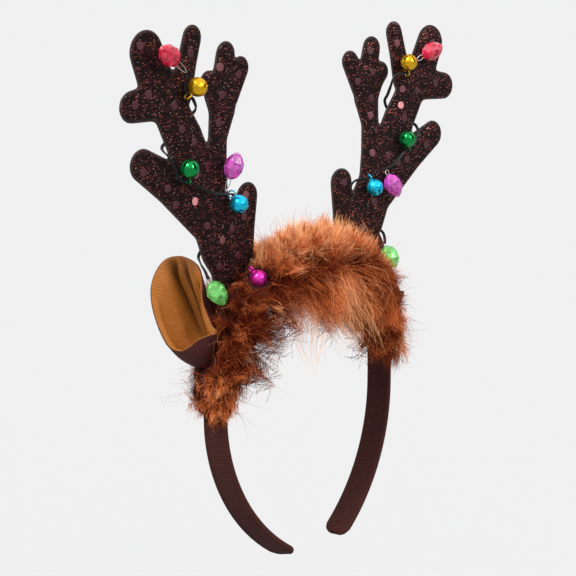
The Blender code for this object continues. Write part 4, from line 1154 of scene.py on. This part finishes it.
def bell_shape():
    """A jingle bell's hollow ball, pressed from two cups with a crimped joint and a cross slot."""
    ball = temporary("ball", *revolved(ball_profile(BELL_RADIUS, 89.2, 32, crimp=0.16), 48))
    cutters = [temporary("hollow", *revolved(ball_profile(BELL_RADIUS - BELL_WALL, 89.0, 20), 32))]
    box_faces = ((0, 1, 3, 2), (4, 6, 7, 5), (0, 4, 5, 1), (2, 3, 7, 6), (0, 2, 6, 4), (1, 5, 7, 3))
    for turn in (0.0, math.pi / 2):
        c, s = math.cos(turn), math.sin(turn)
        slab = [
            (x * c - y * s, x * s + y * c, z)
            for z in (-BELL_RADIUS - 1, -BELL_RADIUS + 2.1) for x in (-3.4, 3.4) for y in (-0.42, 0.42)
        ]
        cutters.append(temporary("slot", slab, box_faces))
        for sign in (-1, 1):
            middle = Vector((c, s, 0.0)) * sign * 3.35
            spots, cells = revolved(((-BELL_RADIUS, 0.75), (-1.0, 0.75)), 16)
            cutters.append(temporary("eye", [Vector(p) + middle for p in spots], cells))
    for cutter in cutters:
        cut = ball.modifiers.new("cut", "BOOLEAN")
        cut.operation, cut.solver, cut.object = "DIFFERENCE", "EXACT", cutter
    mesh = bpy.data.meshes.new_from_object(ball.evaluated_get(bpy.context.evaluated_depsgraph_get()))
    shape = [tuple(v.co) for v in mesh.vertices], [tuple(p.vertices) for p in mesh.polygons]
    for helper in [*cutters, ball]:
        bpy.data.objects.remove(helper)
    return shape


def make_bells(settings):
    ring = [(LOOP_RADIUS * c, 0.0, LOOP_REACH + LOOP_RADIUS * s) for c, s in circle(36)]
    collar = ((BELL_RADIUS - 0.25, 1.5), (BELL_RADIUS + 0.1, 1.2), (BELL_RADIUS + 0.2, 0.7))
    shape = joined([bell_shape(), tube(ring, LOOP_WIRE, 12, closed=True), revolved(collar, 24)])
    pellet = revolved(ball_profile(PELLET_RADIUS, 88, 8, -BELL_RADIUS + 1.9), 16)
    points, faces = joined([shape, pellet])
    steel = metal_finish("steel pellet", (0.30, 0.29, 0.28), 0.35)
    for name, (ball, _) in BELLS.items():
        _, colour, side = name.split("_")
        loop_at = loop_middle(name)
        route = cord_route(side, 120)
        near = int(np.argmin(np.linalg.norm(route - np.array(loop_at), axis=1)))
        tangent = Vector(route[min(near + 1, len(route) - 1)] - route[max(near - 1, 0)])
        spot = antler_matrix(side) @ aimed(in_antler(side, ball), loop_at, tangent)
        finish = metal_finish(f"{colour} bell", getattr(settings, colour), 0.17)
        piece = new_piece(f"{name}_metal", points, faces, [finish, steel], f"{colour}_metal", [name], spot)
        marks = [0] * len(shape[1]) + [1] * len(pellet[1])
        piece.data.polygons.foreach_set("material_index", marks)
        piece.data.set_sharp_from_angle(angle=math.radians(38))


def bead_shape():
    """A cut bead: long flat facets from end to end, broken across its widest part."""
    rows = [(BEAD_HALF - along, radius * 1.035) for along, radius in reversed(BEAD_PROFILE)]
    shifts = (0, 0, 0, 0.5, 0.5, 0.5)
    points, faces = [], []
    for (height, radius), shift in zip(rows, shifts):
        points += [(radius * c, radius * s, height) for c, s in circle(BEAD_SIDES, shift)]
    for row, (shift, next_shift) in enumerate(zip(shifts, shifts[1:])):
        low, high = row * BEAD_SIDES, (row + 1) * BEAD_SIDES
        for k in range(BEAD_SIDES):
            beside = (k + 1) % BEAD_SIDES
            if shift != next_shift:
                faces += [(low + k, low + beside, high + k), (low + beside, high + beside, high + k)]
            else:
                faces.append((low + k, low + beside, high + beside, high + k))
    return points, faces + ring_faces(len(rows), BEAD_SIDES, capped=True)[-2:]


def bead_wire(stem):
    """Two wires twisted into a stem over the bead, and their turn under it."""
    low, top = -BEAD_HALF - 0.5, BEAD_HALF
    shapes = []
    for sign in (-1, 1):
        route = (
            (sign * 0.25, 0.0, low), (sign * 0.28, 0.0, 0.0), (sign * 0.45, 0.1, top - 1.0),
            (sign * 1.15, 0.2 * sign, top + 0.25 * stem), (sign * 1.05, -0.2 * sign, top + 0.7 * stem),
            (0.12 * sign, 0.0, top + stem - 0.1),
        )
        shapes.append(tube(smooth_route(route, 30), BEAD_WIRE, 8))
    foot = [(0.25 * math.cos(t), 0.25 * math.sin(t) * 0.5, low) for t in np.linspace(0, math.pi, 5)]
    return joined([*shapes, tube(foot, BEAD_WIRE, 8)])


def make_beads(settings):
    wire = metal_finish("silver wire", settings.wire, 0.25)
    for name, (middle, target, stem) in BEADS.items():
        _, colour, side = name.split("_")
        middle, target = in_antler(side, middle), in_antler(side, target)
        spot = antler_matrix(side) @ aimed(middle, target, Vector((0.0, 1.0, 0.0)))
        finish = bead_finish(f"{colour} bead", getattr(settings, colour))
        bead = new_piece(f"{name}_cut", *bead_shape(), [finish], f"{colour}_bead", [name], spot)
        bead.data.shade_flat()
        new_piece(f"{name}_wire", *bead_wire(stem), [wire], f"{colour}_bead", (), spot)


# Shader helpers


class Value:
    """A node's output that can be reckoned with like a number."""

    def __init__(self, nodes, socket):
        self.nodes, self.socket = nodes, socket

    def __add__(self, other):
        return self.nodes.maths("ADD", self, other)

    def __sub__(self, other):
        return self.nodes.maths("SUBTRACT", self, other)

    def __rsub__(self, other):
        return self.nodes.maths("SUBTRACT", other, self)

    def __mul__(self, other):
        return self.nodes.maths("MULTIPLY", self, other)

    def __truediv__(self, other):
        return self.nodes.maths("DIVIDE", self, other)

    def __rtruediv__(self, other):
        return self.nodes.maths("DIVIDE", other, self)

    def __pow__(self, other):
        return self.nodes.maths("POWER", self, other)


class Nodes:
    """A node tree with short ways to add its nodes."""

    def __init__(self, tree):
        self.tree = tree

    def feed(self, node, **inputs):
        """Sets or links a node's inputs by their names, or by number as n0, n1 and so on."""
        for key, value in inputs.items():
            socket = node.inputs[int(key[1:]) if key[1:].isdigit() else key.replace("_", " ")]
            if isinstance(value, Value):
                self.tree.links.new(value.socket, socket)
            else:
                socket.default_value = value

    def add(self, kind, settings=None, **inputs):
        """Adds a node with its settings and inputs, and gives its outputs by number and by name."""
        made = self.tree.nodes.new("ShaderNode" + kind)
        for key, value in (settings or {}).items():
            setattr(made, key, value)
        self.feed(made, **inputs)
        return {key: Value(self, out) for i, out in enumerate(made.outputs) for key in (i, out.name)}

    def maths(self, operation, *values, clamp=False):
        inputs = {f"n{i}": value for i, value in enumerate(values)}
        return self.add("Math", {"operation": operation, "use_clamp": clamp}, **inputs)[0]

    def vectors(self, operation, first, second):
        return self.add("VectorMath", {"operation": operation}, n0=first, n1=second)[0]

    def scaled(self, vector, by):
        return self.add("VectorMath", {"operation": "SCALE"}, n0=vector, Scale=by)[0]

    def mixed(self, part, first, second):
        """A colour between two, by a part from nought to one."""
        first, second = (c if isinstance(c, Value) else (*c[:3], 1.0) for c in (first, second))
        return self.add("Mix", {"data_type": "RGBA", "clamp_factor": True}, n0=part, n6=first, n7=second)[2]

    def noise(self, place, scale, detail):
        return self.add("TexNoise", Vector=place, Scale=scale, Detail=detail)[0]

    def parts(self, vector):
        made = self.add("SeparateXYZ", Vector=vector)
        return made[0], made[1], made[2]

    def group(self, name, **inputs):
        """One of the shared effects, which is made when it is first asked for."""
        tree = bpy.data.node_groups.get(name) or GROUPS[name](name)
        return self.add("Group", {"node_tree": tree}, **inputs)


class Finish(Nodes):
    """A material's nodes, with its Principled shader and millimetre coordinates of the object."""

    def __init__(self, name, **looks):
        self.material = bpy.data.materials.new(name)
        self.material.use_nodes = True
        super().__init__(self.material.node_tree)
        self.place = self.scaled(self.add("TexCoord")["Object"], 1 / MM)
        self.looks(**looks)

    def looks(self, **inputs):
        self.feed(self.tree.nodes["Principled BSDF"], **inputs)

    def raised(self, height, strength, distance):
        self.looks(Normal=self.add("Bump", Strength=strength, Distance=distance, Height=height)[0])

    def shade(self, patch, depth):
        return self.group("Uneven shade", Map=self.place, Patch=patch, Depth=depth)["Shade"]


def new_group(name, sizes, results):
    """A node group with a map, named sizes with their values, and named results."""
    tree = bpy.data.node_groups.new(name, "ShaderNodeTree")
    tree.interface.new_socket("Map", in_out="INPUT", socket_type="NodeSocketVector")
    for label, value in sizes.items():
        tree.interface.new_socket(label, in_out="INPUT", socket_type="NodeSocketFloat").default_value = value
    for label in results:
        tree.interface.new_socket(label, in_out="OUTPUT", socket_type="NodeSocketFloat")
    nodes = Nodes(tree)
    given = {out.name: Value(nodes, out) for out in tree.nodes.new("NodeGroupInput").outputs}
    return nodes, given, tree.nodes.new("NodeGroupOutput")


def ribs_group(name):
    """Ribs of a weave across one coordinate, with threads that cross them."""
    sizes = {"Pitch": 1.0, "Thread": 0.4, "Slant": 0.0, "Wander": 0.15}
    nodes, given, result = new_group(name, sizes, ("Height", "Shade"))
    x, y, _ = nodes.parts(given["Map"])
    wander = (nodes.noise(given["Map"], 0.12, 3.0) - 0.5) * given["Wander"] * 8.0
    ribs = (x + y * given["Slant"] + wander) / given["Pitch"]
    crown, thread = (
        nodes.maths("MULTIPLY_ADD", nodes.maths("SINE", turns * (2 * math.pi)), 0.5, 0.5)
        for turns in (ribs, y / given["Thread"])
    )
    height = crown * 0.75 + thread * 0.25
    grain = nodes.maths("MULTIPLY_ADD", nodes.noise(given["Map"], 1.4, 2.0), 1.15, -0.375)
    nodes.feed(result, Height=height, Shade=height * 0.6 + grain)
    return nodes.tree


def tinsel_group(name):
    """Short bright threads laid in wavering rows, with a tone for each."""
    sizes = {"Angle": 0.0, "Step": 3.0, "Row": 1.3, "Length": 2.0, "Width": 0.3, "Share": 0.5}
    nodes, given, result = new_group(name, sizes, ("Mask", "Tone"))
    noise = nodes.add("TexNoise", Vector=given["Map"], Scale=0.085, Detail=2.0)["Color"]
    drift = nodes.scaled(nodes.vectors("SUBTRACT", noise, (0.5, 0.5, 0.5)), 6.0)
    moved = nodes.vectors("ADD", given["Map"], drift)
    turned = nodes.add("VectorRotate", {"rotation_type": "Z_AXIS"}, Vector=moved, Angle=given["Angle"])[0]
    x, y, _ = nodes.parts(turned)
    flat = nodes.add("CombineXYZ", X=x / given["Step"], Y=y / given["Row"])[0]
    cells = nodes.add("TexVoronoi", {"voronoi_dimensions": "2D"}, Vector=flat, Scale=1.0, Randomness=0.8)
    x, y, _ = nodes.parts(nodes.vectors("SUBTRACT", flat, cells["Position"]))
    long = x * given["Step"] / (given["Length"] * 0.5)
    wide = y * given["Row"] / (given["Width"] * 0.5)
    near = nodes.maths("LESS_THAN", long * long + wide * wide, 1.0)
    chances = nodes.add("SeparateColor", Color=cells["Color"])
    there = nodes.maths("LESS_THAN", chances[0], given["Share"])
    nodes.feed(result, Mask=near * there, Tone=chances[1])
    return nodes.tree


def mottle_group(name):
    """Soft uneven shade, as dye and light leave on cloth."""
    nodes, given, result = new_group(name, {"Patch": 9.0, "Depth": 0.2}, ("Shade",))
    swing = (nodes.noise(given["Map"], 1.0 / given["Patch"], 4.0) - 0.5) * 2.0
    nodes.feed(result, Shade=swing * given["Depth"] + 1.0)
    return nodes.tree


GROUPS = {"Ribs": ribs_group, "Tinsel threads": tinsel_group, "Uneven shade": mottle_group}


# Finishes


def dimmed(colour, by):
    return tuple(c * by for c in colour)


def woven_finish(name, dark, light, pitch, thread, slant, roughness, sheen, depth):
    """A ribbed cloth whose ribs follow the piece's own map, in millimetres."""
    look = Finish(name, Roughness=roughness, Specular_IOR_Level=0.2)
    spots = look.scaled(look.add("UVMap", {"uv_map": "Cloth"})[0], 1 / MAP_STEP)
    ribs = look.group("Ribs", Map=spots, Pitch=pitch, Thread=thread, Slant=slant, Wander=0.1)
    # Painted shade: where the fold attribute is set, the colour goes towards a fifth of the dark colour
    fold = look.add("Attribute", {"attribute_name": "fold"})["Fac"]
    colour = look.mixed(ribs["Shade"], dark, light)
    colour = look.mixed(fold * 0.85, colour, dimmed(dark, 0.22))
    look.looks(
        Base_Color=look.scaled(colour, look.shade(11.0, 0.28)), Sheen_Weight=sheen, Sheen_Roughness=0.4,
        Sheen_Tint=(*[min(1.0, c * 1.6) for c in light], 1.0),
    )
    look.raised(ribs["Height"], 0.9, depth * MM)
    return look.material


def glitter_finish(settings):
    """Near-black cloth with copper tinsel threads and a dull pinched edge."""
    look = Finish("glitter cloth", Specular_IOR_Level=0.12)
    x, _, z = look.parts(look.place)
    flat = look.add("CombineXYZ", X=x, Y=z)[0]
    other = look.vectors("ADD", flat, (37.0, 91.0, 0.0))
    sizes = ("Map", "Angle", "Step", "Row", "Length", "Width", "Share")
    layers = (
        (flat, settings.lay, 2.5, 1.3, 2.0, 0.33, 0.42),
        (other, settings.lay - 0.25, 2.2, 1.6, 1.2, 0.30, 0.36),
        (other, 1.1, 1.3, 1.2, 0.50, 0.40, 0.30),
    )
    one, two, dots = (look.group("Tinsel threads", **dict(zip(sizes, row))) for row in layers)
    threads = look.maths("MAXIMUM", look.maths("MAXIMUM", one["Mask"], two["Mask"]), dots["Mask"])
    # Painted sparkle: each thread runs from a fifth of the copper to full copper by its tone, and the
    # brightest specks get a painted pale glint
    spark = ((one["Tone"] + two["Tone"]) * 0.5) ** 1.8
    glint = look.maths("GREATER_THAN", dots["Tone"], 0.7) * dots["Mask"]
    tinsel = look.mixed(spark, dimmed(settings.tinsel, 0.20), settings.tinsel)
    tinsel = look.mixed(glint * 0.7, tinsel, (0.95, 0.55, 0.45))
    knit = look.group("Ribs", Map=flat, Pitch=0.9, Thread=0.7, Slant=0.3, Wander=0.3)
    edge = look.add("Attribute", {"attribute_name": "edge"})["Fac"]
    worn = look.maths("MULTIPLY", edge, look.shade(3.0, 0.5), clamp=True)
    cloth = look.mixed(knit["Shade"], dimmed(settings.cloth, 0.55), settings.cloth)
    cloth = look.mixed(worn * 0.85, cloth, settings.edge)
    shown = threads * (1.0 - edge * 0.75)
    look.looks(
        Base_Color=look.mixed(shown, cloth, tinsel), Roughness=0.72 - shown * 0.38, Metallic=shown * 0.55
    )
    look.raised(knit["Height"] * 0.5 + threads, 0.6, 0.12 * MM)
    return look.material


def sequin_finish(name, colour, roughness, metallic):
    look = Finish(name, Roughness=roughness, Metallic=metallic, Coat_Weight=0.4, Coat_Roughness=0.15)
    look.looks(Base_Color=look.scaled(colour, look.shade(2.2, 0.35)))
    return look.material


def fur_finish(settings):
    """Down that runs from a dark root through rust to a pale tip, about the tone that its map gives it: the
    dark root is painted shade, the pale tip and a faint glow are painted light.
    """
    look = Finish("down", Roughness=0.85, Specular_IOR_Level=0.05, Emission_Strength=0.22)
    level, along, _ = look.parts(look.add("UVMap", {"uv_map": "OFBake"})[0])
    level = look.maths("MULTIPLY_ADD", level, TONE_SPAN, TONE_LOW)
    # Painted shade towards the root and painted light towards the tip
    tone = (level + (along - 0.60) * settings.gradient) * 2.0
    colour = look.mixed(tone, settings.dark, settings.middle)
    colour = look.mixed(tone - 1.0, colour, settings.light)
    # Painted glow: the tips emit their own colour, most at the very tip, standing in for light through thin
    # tips, so they never go black against a pale ground
    look.looks(Base_Color=colour, Emission_Color=look.scaled(colour, along**1.5))
    return look.material


def backing_painted_shade_finish(settings):
    look = Finish("down backing", Roughness=0.95)
    # Painted shade: the backing takes a quarter to seven tenths of the darkest down, to read as shade among
    # the locks
    noise = look.noise(look.place, 1.2, 5.0)
    colour = look.mixed(noise, dimmed(settings.dark, 0.25), dimmed(settings.dark, 0.7))
    look.looks(Base_Color=look.scaled(colour, look.shade(2.5, 0.5)))
    look.raised(noise, 0.9, 0.8 * MM)
    return look.material


def metal_finish(name, colour, roughness):
    """Lacquered metal with faint handling marks."""
    if name in bpy.data.materials:
        return bpy.data.materials[name]
    look = Finish(name, Metallic=0.78)
    scuffs = look.noise(look.place, 1.6, 5.0)
    look.looks(
        Base_Color=look.scaled(colour, look.shade(2.0, 0.10)),
        Roughness=look.maths("MULTIPLY_ADD", scuffs, 0.16, roughness - 0.08),
    )
    look.raised(scuffs, 0.12, 0.05 * MM)
    return look.material


def bead_finish(name, colour):
    """Clear coloured plastic with painted light: lighter and deeper patches stand in for far facets seen
    through it, with painted pale glints.
    """
    if name in bpy.data.materials:
        return bpy.data.materials[name]
    look = Finish(
        name, Roughness=0.09, Transmission_Weight=0.38, Coat_Weight=0.3, Coat_Roughness=0.04, IOR=1.49,
        Specular_IOR_Level=0.7,
    )
    # Painted refraction: each flat facet gets its own brightness from its true normal, and each cell a depth
    # of colour
    near = look.noise(look.add("NewGeometry")["True Normal"], 1.7, 0.0)
    far = look.add("TexVoronoi", Vector=look.place, Scale=0.62)["Color"]
    depth, painted_glint_chance, _ = look.parts(far)
    tinted = look.scaled(colour, look.maths("MULTIPLY_ADD", depth, 0.85, near))
    # Painted glint: the cells with the most shine turn pale
    light = look.maths("MULTIPLY", painted_glint_chance - 0.70, 2.0, clamp=True)
    look.looks(Base_Color=look.mixed(light, tinted, [0.72 * c + 0.20 for c in colour]))
    return look.material


def cord_finish(settings):
    look = Finish(
        "black cord", Roughness=0.4, Specular_IOR_Level=0.35, Coat_Weight=0.12, Coat_Roughness=0.2
    )
    noise = look.noise(look.place, 2.6, 3.0)
    look.looks(Base_Color=look.mixed(noise, dimmed(settings.cord, 0.5), dimmed(settings.cord, 2.4)))
    look.raised(noise, 0.35, 0.08 * MM)
    return look.material


# Stage


def direction(turn, rise):
    """The way towards a viewer or lamp from its turn round the headband and its height angle."""
    return Vector((math.sin(turn) * math.cos(rise), -math.cos(turn) * math.cos(rise), math.sin(rise)))


def make_camera(settings, scene):
    camera = bpy.data.objects.new("camera", bpy.data.cameras.new("camera"))
    camera.data.sensor_width = 36.0
    camera.data.lens = settings.lens
    camera.data.clip_start, camera.data.clip_end = 0.02, 3000.0
    back = direction(settings.turn, settings.rise)
    right = Vector((math.cos(settings.turn), math.sin(settings.turn), 0.0))
    turn = Matrix((right, back.cross(right), back)).transposed().to_4x4()
    target = Vector((-0.01054, 0.0, -0.00941))
    camera.matrix_world = Matrix.Translation(target + back * settings.distance) @ turn
    scene.collection.objects.link(camera)
    scene.camera = camera
    scene.view_settings.view_transform = "Standard"


def make_floor(settings, scene):
    level, wide = CAD_BOX[0].z - settings.drop, 700.0
    corners = [(-wide, -wide, level), (wide, -wide, level), (wide, wide, level), (-wide, wide, level)]
    sheet = bpy.data.meshes.new("floor")
    sheet.from_pydata(corners, [], [(0, 1, 2, 3)])
    look = Finish("pale floor", Roughness=0.9, Base_Color=(*settings.backdrop, 1.0), Specular_IOR_Level=0.0)
    sheet.materials.append(look.material)
    floor = bpy.data.objects.new("floor", sheet)
    scene.collection.objects.link(floor)
    # The floor is hidden from diffuse and glossy rays, so its pale light doesn't flood the headband from
    # below
    floor.visible_diffuse = False
    floor.visible_glossy = False


def make_light(settings, scene):
    world = bpy.data.worlds.new("soft surround")
    scene.world = world
    world.use_nodes = True
    nodes = Nodes(world.node_tree)
    _, _, height = nodes.parts(nodes.add("TexCoord")["Generated"])
    rise = nodes.add("ValToRGB", Fac=nodes.maths("MULTIPLY_ADD", height, 0.5, 0.5))[0]
    stops = rise.socket.node.color_ramp.elements
    stops[0].color, stops[1].color = (0.62, 0.62, 0.62, 1.0), (1.0, 1.0, 1.0, 1.0)
    for place, level in ((0.38, 0.50), (0.50, 0.34), (0.62, 0.62), (0.80, 1.0)):
        stops.new(place).color = (level, level, level, 1.0)
    seen = nodes.add("LightPath")["Is Camera Ray"]
    strength = nodes.add("Mix", {"data_type": "FLOAT"}, n0=seen, n2=rise * settings.room_light, n3=0.87)[0]
    nodes.feed(nodes.tree.nodes["Background"], n0=(1.0, 1.0, 1.0, 1.0), n1=strength)
    lamps = (
        ("key lamp", -42.0, 52.0, 24.0, settings.key_light),
        ("side lamp", 55.0, 30.0, 30.0, settings.side_light),
    )
    for name, around, height, spread, power in lamps:
        lamp = bpy.data.lights.new(name, "SUN")
        lamp.energy = power
        lamp.angle = math.radians(spread)
        holder = bpy.data.objects.new(name, lamp)
        way = direction(settings.turn + math.radians(around), math.radians(height))
        holder.matrix_world = way.to_track_quat("Z", "Y").to_matrix().to_4x4()
        scene.collection.objects.link(holder)


# Operators


class HEADBAND_OT_stage(bpy.types.Operator):
    """Set the camera, the pale floor and the soft light"""

    bl_idname = "headband.stage"
    bl_label = "Stage"

    def execute(self, context):
        for make in (make_camera, make_floor, make_light):
            make(context.scene.headband_stage, context.scene)
        return {"FINISHED"}


class HEADBAND_OT_band(bpy.types.Operator):
    """Cover the band with ribbed ribbon"""

    bl_idname = "headband.band"
    bl_label = "Band"

    def execute(self, context):
        s = context.scene.headband_band
        finish = woven_finish(
            "brown ribbon", s.ribbon, s.ribbon_light, pitch=s.rib / MM, thread=0.9, slant=0.16,
            roughness=0.8, sheen=0.04, depth=0.30,
        )
        make_band(s, finish)
        return {"FINISHED"}


class HEADBAND_OT_antlers(bpy.types.Operator):
    """Make the padded antlers and their sequins"""

    bl_idname = "headband.antlers"
    bl_label = "Antlers"

    def execute(self, context):
        s = context.scene.headband_antler
        finish = glitter_finish(s)
        # The rose and pink sequins are painted light: half-lit and lit copies of the plum sequin, mixed from
        # its colour and the lit pink
        between = tuple(a * 0.75 + b * 0.17 for a, b in zip(s.sequin, s.sequin_lit))
        tones = [
            sequin_finish("plum sequin", s.sequin, 0.45, 0.2),
            sequin_finish("half-lit sequin", between, 0.4, 0.2),
            sequin_finish("lit sequin", s.sequin_lit, 0.4, 0.1),
        ]
        for side in SIDES:
            make_sequins(side, s, make_antler(side, s, finish), tones)
        return {"FINISHED"}


class HEADBAND_OT_ears(bpy.types.Operator):
    """Make the cupped satin ears and their linings"""

    bl_idname = "headband.ears"
    bl_label = "Ears"

    def execute(self, context):
        s = context.scene.headband_ear
        weave = {"pitch": s.rib / MM, "thread": 0.5, "slant": 0.0}
        weave.update(roughness=0.5, sheen=0.2, depth=0.16)
        back = woven_finish("aubergine satin", s.back, s.back_light, **weave)
        lining = woven_finish("caramel satin", s.lining_dark, s.lining, **weave)
        for side in SIDES:
            outer = make_ear_layer(side, "outer", back)
            inner = make_ear_layer(side, "lining", lining)
        return {"FINISHED"}


class HEADBAND_OT_fur(bpy.types.Operator):
    """Grow the fur trim's down and stray hairs"""

    bl_idname = "headband.fur"
    bl_label = "Fur"

    def execute(self, context):
        s = context.scene.headband_fur
        make_fur(s, backing_painted_shade_finish(s), fur_finish(s))
        return {"FINISHED"}


class HEADBAND_OT_trims(bpy.types.Operator):
    """Make the cords, the bells and the beads with their wires"""

    bl_idname = "headband.trims"
    bl_label = "Cords, bells and beads"

    def execute(self, context):
        s = context.scene.headband_trim
        finish = cord_finish(s)
        for side in SIDES:
            make_cord(side, s, finish)
        make_bells(s)
        make_beads(s)
        return {"FINISHED"}


class HEADBAND_PT_panel(bpy.types.Panel):
    """The headband's pieces and their sizes and colours"""

    bl_idname = "HEADBAND_PT_panel"
    bl_label = "Headband"
    bl_space_type = "VIEW_3D"
    bl_region_type = "UI"
    bl_category = "Headband"

    def draw(self, context):
        for holder, (operator, _) in STEPS.items():
            box = self.layout.box()
            box.operator(operator.bl_idname)
            settings = getattr(context.scene, holder)
            for key in settings.__annotations__:
                box.prop(settings, key)


STEPS = {
    "headband_stage": (HEADBAND_OT_stage, StageSettings),
    "headband_trim": (HEADBAND_OT_trims, TrimSettings),
    "headband_band": (HEADBAND_OT_band, BandSettings),
    "headband_antler": (HEADBAND_OT_antlers, AntlerSettings),
    "headband_ear": (HEADBAND_OT_ears, EarSettings),
    "headband_fur": (HEADBAND_OT_fur, FurSettings),
}
CLASSES = (*(item for row in STEPS.values() for item in row), HEADBAND_PT_panel)


def register():
    for item in CLASSES:
        bpy.utils.register_class(item)
    for holder, (_, group) in STEPS.items():
        setattr(bpy.types.Scene, holder, PointerProperty(type=group))


def unregister():
    for holder in STEPS:
        delattr(bpy.types.Scene, holder)
    for item in reversed(CLASSES):
        bpy.utils.unregister_class(item)


def main():
    register()
    bpy.ops.headband.stage()
    bpy.ops.headband.trims()
    bpy.ops.headband.band()
    bpy.ops.headband.antlers()
    bpy.ops.headband.ears()
    bpy.ops.headband.fur()
    bpy.context.view_layer.update()


if __name__ == "__main__":
    main()
